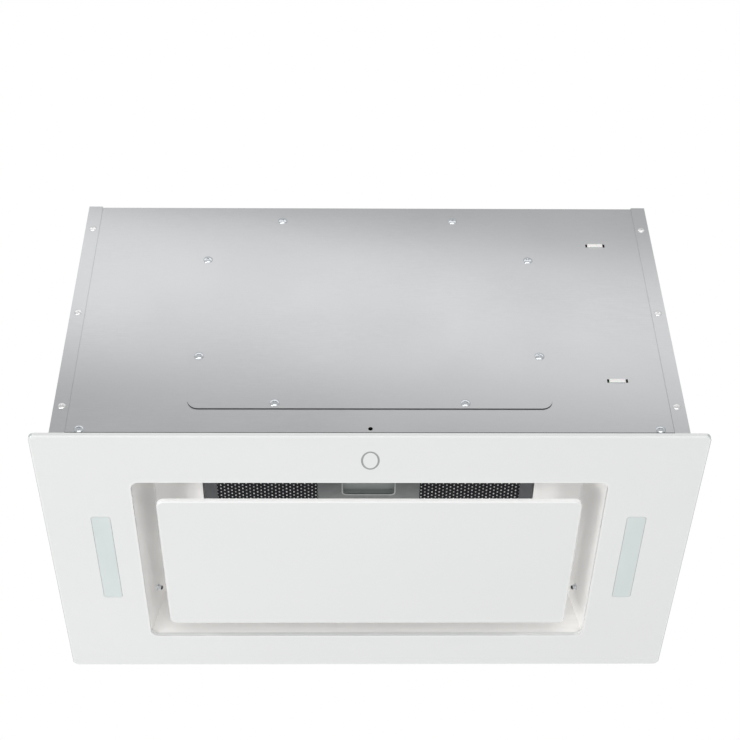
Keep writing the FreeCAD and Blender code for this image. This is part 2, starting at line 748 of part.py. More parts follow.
# ------------------------------------------------------------ touch control
def touch_sensor_pad():
    return rod(0, TOUCH_Y, 0, (0, 0, 1), TOUCH_PAD_R, TOUCH_PAD_H)


def touch_board():
    z0 = TOUCH_PAD_H
    return plate(0, TOUCH_Y, TOUCH_BOARD_W, TOUCH_BOARD_D, z0, z0 + BOARD_T, 1)


def touch_board_cover():
    w = TOUCH_BOARD_W + 2 * (COVER_GAP + COVER_WALL)
    d = TOUCH_BOARD_D + 2 * (COVER_GAP + COVER_WALL) - 2
    z1 = PAN_TOP + COVER_H
    shell = plate(0, TOUCH_Y, w, d, PAN_TOP, z1, 3)
    inner = plate(
        0, TOUCH_Y, w - 2 * COVER_WALL, d - 2 * COVER_WALL, PAN_TOP - 1, z1 - COVER_WALL, 1
    )
    shell = shell.cut(inner)
    z0 = TOUCH_PAD_H + BOARD_T
    posts = []
    for sx in (-1, 1):
        for sy in (-1, 1):
            x = sx * (TOUCH_BOARD_W / 2 - COVER_POST / 2)
            y = TOUCH_Y + sy * (TOUCH_BOARD_D / 2 - COVER_POST / 2)
            posts.append(plate(x, y, COVER_POST, COVER_POST, z0, z1 - COVER_WALL, 1))
    return fused(shell, *posts)


# ---------------------------------------------------------------- recess tray
def tray_wire(grow, z):
    """Level section of the leaning recess at a height."""
    a = MOUTH_HALF + grow - SLOPE * z
    b = OPEN_D / 2 + TRAY_SETBACK + grow - SLOPE * z
    corners = [V(sx * a, OPEN_Y + sy * b, z) for sx, sy in ((-1, -1), (1, -1), (1, 1), (-1, 1))]
    return Part.makePolygon(corners + corners[:1])


def tray_block(grow, z0, z1):
    return Part.makeLoft([tray_wire(grow, z0), tray_wire(grow, z1)], True, True)


def side_zone():
    """Everything beyond the inner face of the right-hand recess wall."""
    low, high = -1.0, RECESS_H + TRAY_T + 1
    far = MOUTH_HALF + TRAY_FLANGE + 1
    depth = OPEN_D + 2 * TRAY_SETBACK + 4 * TRAY_FLANGE
    start = OPEN_Y - depth / 2
    corners = [
        V(MOUTH_HALF - SLOPE * low, start, low),
        V(far, start, low),
        V(far, start, high),
        V(MOUTH_HALF - SLOPE * high, start, high),
    ]
    return Part.Face(Part.makePolygon(corners + corners[:1])).extrude(V(0, depth, 0))


def nut_axis():
    """Outward normal of the right-hand recess wall."""
    length = math.hypot(1, SLOPE)
    return (1 / length, 0, SLOPE / length)


def nut_place():
    return (MOUTH_HALF - SLOPE * NUT_Z, OPEN_BACK - NUT_Y_INSET, NUT_Z)


def recess_tray():
    """Stainless channel: ceiling with the filter's window, front wall and back wall."""
    outer = tray_block(TRAY_T, TRAY_LIFT, RECESS_H + TRAY_T)
    reach = OPEN_D / 2 + TRAY_SETBACK + TRAY_FLANGE
    flange = box(
        -MOUTH_HALF, MOUTH_HALF, OPEN_Y - reach, OPEN_Y + reach, PAN_TOP, PAN_TOP + TRAY_T
    )
    w = FILTER_W / 2 + FILTER_FIT
    d = FILTER_D / 2 + FILTER_FIT
    window = box(-w, w, OPEN_Y - d, OPEN_Y + d, RECESS_H - 1, RECESS_H + TRAY_T + 1)
    hollow = tray_block(0, -TRAY_LIFT, RECESS_H)
    side = side_zone()
    cuts = Part.makeCompound([hollow, window, side, mirrored(side)])
    return fused(outer, flange).cut(cuts)


def recess_side_walls():
    """Leaning side sheets welded to the ends of the channel, each with its flange."""
    outer = tray_block(TRAY_T, TRAY_LIFT, RECESS_H + TRAY_T)
    half = OPEN_D / 2 + TRAY_SETBACK
    flange = box(
        0, MOUTH_HALF + TRAY_FLANGE, OPEN_Y - half, OPEN_Y + half, PAN_TOP, PAN_TOP + TRAY_T
    )
    x, y, z = nut_place()
    nx, ny, nz = nut_axis()
    drill = rod(x - 5 * nx, y, z - 5 * nz, (nx, ny, nz), NUT_R + HOLE_FIT, 12)
    return both_sides(fused(outer, flange).common(side_zone()).cut(drill))


def tray_rivet_nuts():
    """Threaded bushes in the recess side walls, standing out into the recess."""
    outline = [
        (NUT_BORE_R, -NUT_STAND),
        (NUT_R, -NUT_STAND),
        (NUT_R, -NUT_FLANGE_T),
        (NUT_FLANGE_R, -NUT_FLANGE_T),
        (NUT_FLANGE_R, 0),
        (NUT_R, 0),
        (NUT_R, NUT_LENGTH),
        (NUT_BORE_R, NUT_LENGTH),
    ]
    x, y, z = nut_place()
    return both_sides(spun(outline, x, y, z, nut_axis()))


def filter_seat():
    """Folded frame above the tray that takes the filter."""
    w = FILTER_W + 2 * FILTER_FIT
    d = FILTER_D + 2 * FILTER_FIT
    foot = plate(0, OPEN_Y, w + 2 * SEAT_FOOT, d + 2 * SEAT_FOOT, SEAT_Z, SEAT_Z + TRAY_T, 2)
    wall = plate(0, OPEN_Y, w + 2 * TRAY_T, d + 2 * TRAY_T, SEAT_Z, SEAT_TOP, 2)
    hollow = plate(0, OPEN_Y, w, d, SEAT_Z - 1, SEAT_TOP - TRAY_T, 1)
    window = plate(0, OPEN_Y, w - 2 * SEAT_LIP, d - 2 * SEAT_LIP, SEAT_Z, SEAT_TOP + 1, 1)
    cuts = [hollow, window]
    z = FILTER_Z + FILTER_T / 2
    for side in (-1, 1):
        x = side * FILTER_PIN_X
        cuts.append(rod(x, FILTER_BACK, z, (0, 1, 0), FILTER_PIN_R + LATCH_FIT, 8))
    half = TONGUE_W / 2 + 1
    slot_z = FILTER_Z + TONGUE_Z
    cuts.append(
        box(-half, half, FILTER_FRONT - 8, FILTER_FRONT, slot_z - 0.8, slot_z + TONGUE_T + 0.8)
    )
    return fused(foot, wall).cut(Part.makeCompound(cuts))


# --------------------------------------------------------------- centre panel
def panel_bond():
    w = 2 * (CARRIER_HALF - PANEL_BOND_INSET)
    d = CARRIER_Y1 - CARRIER_Y0 - 2 * PANEL_BOND_INSET
    mid = (CARRIER_Y0 + CARRIER_Y1) / 2
    outer = plate(0, mid, w, d, PANEL_TOP, CARRIER_Z, 4)
    band = 2 * PANEL_BOND_W
    cut = plate(0, mid, w - band, d - band, PANEL_TOP - 1, CARRIER_Z + 1, 4)
    return outer.cut(cut)


def panel_carrier():
    """Steel tray behind the centre glass, with hinge ears on its side rims."""
    y0, y1, half = CARRIER_Y0, CARRIER_Y1, CARRIER_HALF
    z1 = CARRIER_Z + CARRIER_RIM
    block = box(-half, half, y0, y1, CARRIER_Z, z1)
    t = CARRIER_T
    hollow = box(-half + t, half - t, y0 + t, y1 + 1, CARRIER_Z + t, z1 + 1)
    ear = rod(half - t, HINGE_Y, HINGE_Z, (1, 0, 0), EAR_R, t)
    stem = box(half - t, half, HINGE_Y - EAR_R, HINGE_Y + EAR_R, CARRIER_Z, HINGE_Z)
    bore = rod(half - 2 * t, HINGE_Y, HINGE_Z, (1, 0, 0), HINGE_PIN_R, 4 * t)
    tray = fused(block.cut(hollow), ear, stem, mirrored(ear), mirrored(stem))
    return tray.cut(Part.makeCompound([bore, mirrored(bore)]))


def hinge_pins():
    """Pins through the carrier's ears into the brackets under the tray."""
    x0 = EAR_X - EAR_GAP
    pin = rod(x0, HINGE_Y, HINGE_Z, (1, 0, 0), HINGE_PIN_R, CARRIER_HALF - x0)
    head = rod(CARRIER_HALF, HINGE_Y, HINGE_Z, (1, 0, 0), HINGE_HEAD_R, HINGE_HEAD_T)
    return both_sides(fused(pin, head))


def hinge_brackets():
    """Angle brackets under the tray's ceiling that hold the hinge pins."""
    x0, x1 = EAR_X, EAR_X + EAR_T
    foot = box(
        x1 - BRACKET_FOOT, x1, HINGE_Y - BRACKET_FOOT / 2, HINGE_Y + BRACKET_FOOT / 2,
        RECESS_H - EAR_T, RECESS_H,
    )
    web = box(x0, x1, HINGE_Y - EAR_R, HINGE_Y + EAR_R, HINGE_Z, RECESS_H)
    eye = rod(x0, HINGE_Y, HINGE_Z, (1, 0, 0), EAR_R, EAR_T)
    bore = rod(x0 - 1, HINGE_Y, HINGE_Z, (1, 0, 0), HINGE_PIN_R + HINGE_PIN_FIT, EAR_T + 2)
    return both_sides(fused(foot, web, eye).cut(bore))


def catch_x():
    """Middle of a catch magnet, between the filter and the carrier's rim."""
    return CARRIER_HALF - CARRIER_T - 2 * EAR_GAP - MAGNET_W / 2


def catch_brackets():
    """Angle brackets that hang the magnets from the tray's ceiling."""
    x0 = catch_x() - MAGNET_W / 2
    x1 = x0 + MAGNET_W
    y0, y1 = CATCH_Y - MAGNET_L / 2, CATCH_Y + MAGNET_L / 2
    z = STRIKE_TOP + MAGNET_GAP + MAGNET_H
    top = box(x0, x1, y0, y1, RECESS_H - EAR_T, RECESS_H)
    web = box(x0, x0 + EAR_T, y0, y1, z, RECESS_H)
    foot = box(x0, x1, y0, y1, z, z + EAR_T)
    return both_sides(fused(top, web, foot))


def catch_magnets():
    half = MAGNET_W / 2
    z = STRIKE_TOP + MAGNET_GAP
    x = catch_x()
    y0, y1 = CATCH_Y - MAGNET_L / 2, CATCH_Y + MAGNET_L / 2
    return both_sides(box(x - half, x + half, y0, y1, z, z + MAGNET_H))


def strike_plates():
    z0 = CARRIER_Z + CARRIER_T
    w, length = MAGNET_W + 1, MAGNET_L + 4
    return both_sides(plate(catch_x(), CATCH_Y, w, length, z0, STRIKE_TOP, 1))


# --------------------------------------------------------------------- filter
def handle_gap(grow, z0, z1):
    """Block over the handle plate, grown by a margin."""
    w = HANDLE_W / 2 + grow
    return box(-w, w, HANDLE_Y0 - grow, HANDLE_Y1 + grow, z0, z1)


def latch_channel(z0, z1):
    """Way for the latch's tongue from the handle to the front edge."""
    half = TONGUE_W / 2 + 1
    return box(-half, half, FILTER_FRONT - 1, HANDLE_Y0 + HANDLE_WALL + 1, z0, z1)


def filter_frame():
    """Channel frame round the filter, with two pins at its back edge."""
    z1 = FILTER_Z + FILTER_T
    b, t = FILTER_BORDER, FILTER_SKIN
    block = plate(0, OPEN_Y, FILTER_W, FILTER_D, FILTER_Z, z1, 2)
    window = plate(0, OPEN_Y, FILTER_W - 2 * b, FILTER_D - 2 * b, FILTER_Z - 1, z1 + 1, 1)
    groove = plate(0, OPEN_Y, FILTER_W - 2 * t, FILTER_D - 2 * t, FILTER_Z + t, z1 - t, 1)
    slot = latch_channel(FILTER_Z + TONGUE_Z - 0.6, FILTER_Z + TONGUE_Z + TONGUE_T + 0.6)
    gap = handle_gap(LATCH_FIT, FILTER_Z - 1, z1 - t)
    frame = block.cut(Part.makeCompound([window, groove, slot, gap]))
    pins = []
    for side in (-1, 1):
        y = FILTER_BACK - t
        z = FILTER_Z + FILTER_T / 2
        pins.append(rod(side * FILTER_PIN_X, y, z, (0, 1, 0), FILTER_PIN_R, FILTER_PIN_L))
    return fused(frame, *pins)


def perforation(x, y, z0, z1):
    """Six-sided hole through the filter's face."""
    corners = []
    for i in range(7):
        a = math.radians(60 * i + 30)
        corners.append(V(x + PERF_R * math.cos(a), y + PERF_R * math.sin(a), z0))
    return Part.Face(Part.makePolygon(corners)).extrude(V(0, 0, z1 - z0))


def filter_face():
    """Perforated sheet in the filter's underside."""
    inset = FILTER_SKIN + LATCH_FIT
    z0 = FILTER_Z + FILTER_SKIN
    sheet = plate(0, OPEN_Y, FILTER_W - 2 * inset, FILTER_D - 2 * inset, z0, z0 + FACE_T, 1)
    x_start = HANDLE_W / 2 + PERF_MARGIN
    x_end = FILTER_W / 2 - FILTER_BORDER - PERF_MARGIN
    y_reach = FILTER_D / 2 - FILTER_BORDER - PERF_MARGIN
    row_pitch = PERF_PITCH * math.sqrt(3) / 2
    columns = int((x_end - x_start) / row_pitch) + 1
    rows = int(2 * y_reach / PERF_PITCH)
    cuts = [handle_gap(LATCH_FIT, z0 - 1, z0 + 2)]
    for i in range(columns):
        for j in range(rows):
            x = x_start + i * row_pitch
            y = OPEN_Y - y_reach + (j + 0.5 * (i % 2)) * PERF_PITCH + PERF_PITCH / 4
            for side in (-1, 1):
                cuts.append(perforation(side * x, y, z0 - 1, z0 + 2))
    return sheet.cut(Part.makeCompound(cuts))


def filter_mesh():
    """Pack of expanded aluminium layers."""
    inset = FILTER_SKIN + LATCH_FIT
    z0 = FILTER_Z + FILTER_SKIN + FACE_T
    z1 = FILTER_Z + FILTER_T - FILTER_SKIN - FACE_T
    slab = plate(0, OPEN_Y, FILTER_W - 2 * inset, FILTER_D - 2 * inset, z0, z1, 1)
    cuts = [handle_gap(LATCH_FIT, z0 - 1, z1 + 1), latch_channel(z0 - 1, z1 + 1)]
    return slab.cut(Part.makeCompound(cuts))


def filter_back():
    """Windowed sheet over the mesh pack."""
    inset = FILTER_SKIN + LATCH_FIT
    z1 = FILTER_Z + FILTER_T - FILTER_SKIN
    z0 = z1 - FACE_T
    sheet = plate(0, OPEN_Y, FILTER_W - 2 * inset, FILTER_D - 2 * inset, z0, z1, 1)
    w = (FILTER_W - 2 * FILTER_BORDER - BACK_WEB) / BACK_COLUMN_COUNT
    d = (FILTER_D - 2 * FILTER_BORDER - BACK_WEB) / BACK_ROW_COUNT
    cuts = []
    for i in range(BACK_COLUMN_COUNT):
        for j in range(BACK_ROW_COUNT):
            x = (i - (BACK_COLUMN_COUNT - 1) / 2) * w
            y = OPEN_Y + (j - (BACK_ROW_COUNT - 1) / 2) * d
            half_w, half_d = (w - BACK_WEB) / 2, (d - BACK_WEB) / 2
            cuts.append(box(x - half_w, x + half_w, y - half_d, y + half_d, z0 - 1, z1 + 1))
    return sheet.cut(Part.makeCompound(cuts))


def handle_plate():
    """Moulded plate with the finger pocket of the filter's latch."""
    z0 = FILTER_Z
    z1 = z0 + FILTER_T - FILTER_SKIN - FACE_T
    mid = (HANDLE_Y0 + HANDLE_Y1) / 2
    shell = plate(0, mid, HANDLE_W, HANDLE_D, z0, z1, 1.5)
    pocket_mid = (POCKET_Y0 + POCKET_Y1) / 2
    depth = z0 + POCKET_DEPTH
    grow = 2 * POCKET_RIM_W
    rim = plate(
        0, pocket_mid, POCKET_W + grow, POCKET_D + grow, z0 - POCKET_RIM_H, z0 + 1,
        POCKET_R + POCKET_RIM_W,
    )
    shell = fused(shell, rim)
    pocket = plate(0, pocket_mid, POCKET_W, POCKET_D, z0 - 2, depth, POCKET_R)
    half = TONGUE_W / 2 + 1
    slot_z = z0 + TONGUE_Z
    slot = box(
        -half, half, HANDLE_Y0 - 1, POCKET_Y0 + 1, slot_z - LATCH_FIT, slot_z + TONGUE_T + LATCH_FIT
    )
    return shell.cut(Part.makeCompound([pocket, slot]))


def filter_latch():
    """Sliding tab whose tongue enters the seat's front wall."""
    y0 = POCKET_Y0 + LATCH_FIT
    z0 = FILTER_Z + LATCH_FIT
    z1 = FILTER_Z + POCKET_DEPTH - LATCH_FIT
    tab = plate(0, y0 + TAB_D / 2, TAB_W, TAB_D, z0 + 1, z1, 1.5)
    tz = FILTER_Z + TONGUE_Z
    half = TONGUE_W / 2
    tongue = box(-half, half, FILTER_FRONT - LATCH_REACH, y0 + TAB_D / 2, tz, tz + TONGUE_T)
    return fused(tab, tongue)


# --------------------------------------------------------------------- blower
def scroll_face(grow):
    """Outline of the scroll seen from the front, in the XZ plane."""
    cx, cz, step = BLOWER_X, BLOWER_Z, SPIRAL_GROWTH
    centres = [(cx, cz), (cx + step, cz), (cx + step, cz + step)]
    edges = []
    for i, (x, z) in enumerate(centres):
        r = SPIRAL_R + step * i + grow
        points = []
        for turn in (90 + 90 * i, 135 + 90 * i, 180 + 90 * i):
            a = math.radians(turn)
            points.append(V(x + r * math.cos(a), 0, z + r * math.sin(a)))
        edges.append(Part.Arc(*points).toShape())
    nose = NOSE_R - grow
    left = outlet_left() - grow
    tip_z = cz + SPIRAL_R + NOSE_R
    right = edges[-1].Vertexes[-1].Point
    start = edges[0].Vertexes[0].Point
    turn_in = V(left - nose, 0, tip_z - nose)
    turn_mid = V(left - nose + nose * math.sqrt(0.5), 0, tip_z - nose * math.sqrt(0.5))
    corners = [right, V(right.x, 0, ROOF), V(left, 0, ROOF), V(left, 0, tip_z)]
    for a, b in zip(corners, corners[1:]):
        edges.append(Part.LineSegment(a, b).toShape())
    edges.append(Part.Arc(corners[-1], turn_mid, turn_in).toShape())
    edges.append(Part.LineSegment(turn_in, start).toShape())
    return Part.Face(Part.Wire(edges))


def outlet_left():
    """Left wall of the outlet neck; its right wall is where the spiral ends."""
    spiral_end = BLOWER_X + SPIRAL_GROWTH + SPIRAL_R + 2 * SPIRAL_GROWTH
    return spiral_end - OUTLET_W


def outlet_mid():
    return outlet_left() + OUTLET_W / 2


def scroll_block(grow, y0, y1):
    block = scroll_face(grow).extrude(V(0, y1 - y0, 0))
    block.translate(V(0, y0, 0))
    return block


def blower_wrap():
    """Spiral wall of the blower with the flange of its outlet neck."""
    half = BLOWER_W / 2
    wall = scroll_block(BLOWER_T, -half, half).cut(scroll_block(0, -half - 1, half + 1))
    neck = OUTLET_W / 2 + BLOWER_FLANGE
    mid = outlet_mid()
    flange = plate(mid, 0, 2 * neck, 2 * neck, ROOF - BLOWER_T, ROOF, 6)
    hole = box(mid - OUTLET_W / 2, mid + OUTLET_W / 2, -half, half, ROOF - 5, ROOF + 1)
    drills = []
    for x, y in collar_screw_places():
        drills.append(rod(x, y, ROOF - 5, (0, 0, 1), SCREW_R + HOLE_FIT, 6))
    return fused(wall, flange.cut(Part.makeCompound([hole] + drills)))


def blower_side(sign):
    """Side plate of the blower with its flared inlet ring."""
    half = BLOWER_W / 2
    y0, y1 = sorted((sign * half, sign * (half + BLOWER_T)))
    reach = GLASS_W
    sheet = scroll_block(BLOWER_T, y0, y1).common(
        box(-reach, reach, y0, y1, -reach, ROOF - BLOWER_T)
    )
    hole = rod(FAN_X, y0 - 1, FAN_Z, (0, 1, 0), INLET_R + INLET_FLARE, BLOWER_T + 2)
    outline = [
        (INLET_R + INLET_FLARE, 0),
        (INLET_R + INLET_FLARE, BLOWER_T),
        (INLET_R + INLET_FLARE * 0.35, BLOWER_T + 0.5),
        (INLET_R + BLOWER_T, BLOWER_T + INLET_DEPTH * 0.45),
        (INLET_R + BLOWER_T, INLET_DEPTH),
        (INLET_R, INLET_DEPTH),
        (INLET_R, INLET_DEPTH * 0.4),
        (INLET_R + INLET_FLARE * 0.3, 0),
    ]
    ring = spun(outline, FAN_X, sign * (half + BLOWER_T), FAN_Z, (0, -sign, 0))
    return fused(sheet.cut(hole), ring)


def blade():
    """Forward-bent blade between the impeller's two radii."""
    lead = math.radians(BLADE_LEAD)
    foot = V(IMPELLER_BORE_R, 0, 0)
    tip = V(IMPELLER_R - BLADE_T, 0, 0)
    tip = V(tip.x * math.cos(lead), 0, tip.x * math.sin(lead))
    along = (tip - foot).normalize()
    side = V(along.z, 0, -along.x)
    bow = (foot + tip) * 0.5 + side * BLADE_BULGE
    inner = [foot, bow, tip]
    outer = [point + side * BLADE_T for point in reversed(inner)]
    loop = Part.makePolygon(inner + outer + [foot])
    solid = Part.Face(loop).extrude(V(0, IMPELLER_W, 0))
    solid.translate(V(0, -IMPELLER_W / 2, 0))
    return solid


def impeller():
    """Double-inlet wheel: hub, centre disc, blades and two rims."""
    half = IMPELLER_W / 2
    along_y = (0, 1, 0)
    disc = rod(0, -DISC_T / 2, 0, along_y, IMPELLER_R - BLADE_T, DISC_T)
    hub = rod(0, -HUB_L + DISC_T, 0, along_y, HUB_R, HUB_L)
    pieces = [hub]
    for y in (-half, half - RIM_T):
        outer = rod(0, y, 0, along_y, IMPELLER_R, RIM_T)
        pieces.append(outer.cut(rod(0, y - 1, 0, along_y, IMPELLER_R - RIM_R, RIM_T + 2)))
    base = blade()
    for i in range(BLADE_COUNT):
        copy = base.copy()
        copy.rotate(V(0, 0, 0), V(0, 1, 0), i * 360.0 / BLADE_COUNT)
        pieces.append(copy)
    wheel = disc.multiFuse(pieces)
    wheel = wheel.cut(rod(0, -GLASS_D, 0, along_y, SHAFT_R, 2 * GLASS_D))
    wheel.translate(V(FAN_X, 0, FAN_Z))
    return wheel


def motor_shaft():
    """Shaft through the hub, with a retaining nut on its nose."""
    y0 = -SHAFT_NOSE
    length = MOTOR_START + MOTOR_L - y0
    shaft = rod(FAN_X, y0, FAN_Z, (0, 1, 0), SHAFT_R, length)
    nut = rod(FAN_X, -HUB_L + DISC_T - 5, FAN_Z, (0, 1, 0), SHAFT_R * 1.8, 4.7)
    return fused(shaft, nut)


def motor():
    """Motor inside the back half of the impeller, bored for its shaft."""
    body = rod(FAN_X, MOTOR_START, FAN_Z, (0, 1, 0), MOTOR_R, MOTOR_L)
    boss = rod(FAN_X, MOTOR_START - MOTOR_BOSS_L, FAN_Z, (0, 1, 0), MOTOR_BOSS_R, MOTOR_BOSS_L)
    r = SHAFT_R + SHAFT_FIT
    bore = rod(FAN_X, 0, FAN_Z, (0, 1, 0), r, MOTOR_START + MOTOR_L + BRACKET_T)
    holes = []
    for x, z in motor_screw_places():
        y = MOTOR_START + MOTOR_L - SCREW_LENGTH
        holes.append(rod(x, y, z, (0, 1, 0), SCREW_R + HOLE_FIT, SCREW_LENGTH + 1))
    return fused(body, boss).cut(Part.makeCompound([bore] + holes))


def motor_screw_places():
    places = []
    for i in range(BRACKET_ARMS):
        a = math.radians(90 + 60 + 360.0 * i / BRACKET_ARMS)
        x = FAN_X + MOTOR_SCREW_CIRCLE * math.cos(a)
        z = FAN_Z + MOTOR_SCREW_CIRCLE * math.sin(a)
        places.append((x, z))
    return places


def motor_bracket():
    """Three-armed spider over the back inlet that carries the motor."""
    y0 = MOTOR_START + MOTOR_L
    ring_y = BLOWER_W / 2 + BLOWER_T
    reach = INLET_R + INLET_FLARE + 2 * BRACKET_POST
    hub = rod(0, y0, 0, (0, 1, 0), BRACKET_HUB_R, BRACKET_T)
    pieces = []
    half = BRACKET_ARM_W / 2
    for i in range(BRACKET_ARMS):
        arm = box(0, reach, y0, y0 + BRACKET_T, -half, half)
        post = box(reach - BRACKET_POST, reach, ring_y, y0 + BRACKET_T, -half, half)
        for piece in (arm, post):
            piece.rotate(V(0, 0, 0), V(0, 1, 0), -90 - i * 360.0 / BRACKET_ARMS)
            pieces.append(piece)
    spider = fused(hub, *pieces)
    spider.translate(V(FAN_X, 0, FAN_Z))
    cuts = [rod(FAN_X, y0 - 1, FAN_Z, (0, 1, 0), SHAFT_R * 2, BRACKET_T + 2)]
    for x, z in motor_screw_places():
        cuts.append(rod(x, y0 - 1, z, (0, 1, 0), SCREW_R + HOLE_FIT, BRACKET_T + 2))
    return spider.cut(Part.makeCompound(cuts))


def motor_screws():
    y = MOTOR_START + MOTOR_L + BRACKET_T
    return Part.makeCompound([screw(x, y, z, (0, 1, 0)) for x, z in motor_screw_places()])


def capacitor_x():
    return outlet_left() + OUTLET_W + BLOWER_T + CLIP_T + CAPACITOR_R


def run_capacitor():
    z0 = BLOWER_Z + CAPACITOR_RISE - CAPACITOR_L / 2
    return rod(capacitor_x(), 0, z0, (0, 0, 1), CAPACITOR_R, CAPACITOR_L)


def capacitor_clip():
    """Band round the capacitor with a foot on the blower's right wall."""
    x = capacitor_x()
    z0 = BLOWER_Z + CAPACITOR_RISE - CLIP_W / 2
    band = rod(x, 0, z0, (0, 0, 1), CAPACITOR_R + CLIP_T, CLIP_W)
    foot_x = x - CAPACITOR_R - CLIP_T
    foot = box(foot_x, foot_x + CLIP_T, -CAPACITOR_R, CAPACITOR_R, z0, z0 + CLIP_W)
    bore = rod(x, 0, z0 - 1, (0, 0, 1), CAPACITOR_R, CLIP_W + 2)
    return fused(band, foot).cut(bore)


# --------------------------------------------------------------- outlet collar
def collar_screw_places():
    mid = outlet_mid()
    places = []
    for sx in (-1, 1):
        for sy in (-1, 1):
            places.append((mid + sx * COLLAR_SCREW, sy * COLLAR_SCREW))
    return places


def outlet_collar():
    """Duct collar with the inner ledge that its two flaps rest on."""
    z0 = ROOF_TOP
    mid = outlet_mid()
    flange = plate(mid, 0, 2 * COLLAR_FLANGE, 2 * COLLAR_FLANGE, z0, z0 + COLLAR_T, 8)
    tube = rod(mid, 0, z0, (0, 0, 1), DUCT_R, COLLAR_T + COLLAR_H)
    bore = rod(mid, 0, z0 + COLLAR_T, (0, 0, 1), DUCT_R - COLLAR_T, COLLAR_H + 1)
    ledge = rod(mid, 0, z0 - 1, (0, 0, 1), LEDGE_R, COLLAR_T + 2)
    cuts = [bore, ledge]
    for side in (-1, 1):
        x = mid + side * FLAP_AXIS_X
        r = FLAP_PIN_R + FLAP_PIN_FIT
        cuts.append(rod(x, -DUCT_R - 1, FLAP_Z, (0, 1, 0), r, 2 * DUCT_R + 2))
    for x, y in collar_screw_places():
        cuts.append(rod(x, y, z0 - 1, (0, 0, 1), SCREW_R + HOLE_FIT, COLLAR_T + 2))
    return fused(flange, tube).cut(Part.makeCompound(cuts))


def collar_screws():
    z = ROOF_TOP + COLLAR_T
    return Part.makeCompound([screw(x, y, z, (0, 0, 1)) for x, y in collar_screw_places()])


def damper_flap(side):
    """Half-round flap on a pin along its straight edge."""
    axis_x = side * FLAP_AXIS_X
    z0 = ROOF_TOP + COLLAR_T + FLAP_GAP
    disc = rod(0, 0, z0, (0, 0, 1), FLAP_R, FLAP_T)
    reach = 2 * FLAP_R
    keep = sorted((axis_x + side * FLAP_SETBACK, side * reach))
    leaf = disc.common(box(keep[0], keep[1], -reach, reach, z0 - 1, z0 + FLAP_T + 1))
    barrel_end = FLAP_R - FLAP_BARREL_GAP
    barrel = rod(axis_x, -barrel_end, FLAP_Z, (0, 1, 0), FLAP_BARREL_R, 2 * barrel_end)
    pin_end = math.sqrt(DUCT_R ** 2 - (FLAP_AXIS_X + FLAP_PIN_R) ** 2)
    pin = rod(axis_x, -pin_end, FLAP_Z, (0, 1, 0), FLAP_PIN_R, 2 * pin_end)
    flap = fused(leaf, barrel, pin)
    flap.translate(V(outlet_mid(), 0, 0))
    return flap


# ---------------------------------------------------- control box and gland
def control_box():
    """Plastic box under the top sheet, open below for its lid."""
    z0 = ROOF - BOX_H
    w = BOX_WALL
    shell = box(BOX_X0, BOX_X1, BOX_Y0, BOX_Y1, z0, ROOF)
    hollow = box(BOX_X0 + w, BOX_X1 - w, BOX_Y0 + w, BOX_Y1 - w, z0 - 1, ROOF - w)
    shell = shell.cut(hollow)
    posts = []
    for x in (BOX_X0 + w, BOX_X1 - w - BOX_POST):
        for y in (BOX_Y0 + w, BOX_Y1 - w - BOX_POST):
            z = z0 + BOX_BOARD_Z + BOARD_T
            posts.append(box(x, x + BOX_POST, y, y + BOX_POST, z, ROOF - w))
    return fused(shell, *posts)


def control_box_lid():
    z0 = ROOF - BOX_H - BOX_WALL
    cx, cy = (BOX_X0 + BOX_X1) / 2, (BOX_Y0 + BOX_Y1) / 2
    return plate(cx, cy, BOX_X1 - BOX_X0, BOX_Y1 - BOX_Y0, z0, z0 + BOX_WALL, 2)


def control_board():
    """Circuit board with its transformer and terminal block."""
    z0 = ROOF - BOX_H + BOX_BOARD_Z
    m = BOX_WALL + BOX_BOARD_GAP
    board = box(BOX_X0 + m, BOX_X1 - m, BOX_Y0 + m, BOX_Y1 - m, z0, z0 + BOARD_T)
    place = V(BOX_X0 + m + BOARD_EDGE, BOX_Y0 + m + BOARD_EDGE, z0 + BOARD_T)
    transformer = Part.makeBox(*TRANSFORMER, place)
    w, d, h = TERMINALS
    place = V(BOX_X1 - m - BOARD_EDGE - w, BOX_Y1 - m - d, z0 + BOARD_T)
    return fused(board, transformer, Part.makeBox(w, d, h, place))


def supply_gland():
    """Cable gland through the top sheet, with its nut below."""
    outline = [
        (GLAND_BORE_R, -GLAND_NUT_T - SHEET),
        (GLAND_NUT_R, -GLAND_NUT_T - SHEET),
        (GLAND_NUT_R, -SHEET),
        (GLAND_R, -SHEET),
        (GLAND_R, 0),
        (GLAND_NUT_R, 0),
        (GLAND_NUT_R, GLAND_NUT_T),
        (GLAND_NUT_R * 0.8, GLAND_H),
        (GLAND_BORE_R, GLAND_H),
    ]
    return spun(outline, GLAND_X, GLAND_Y, ROOF_TOP, (0, 0, 1))


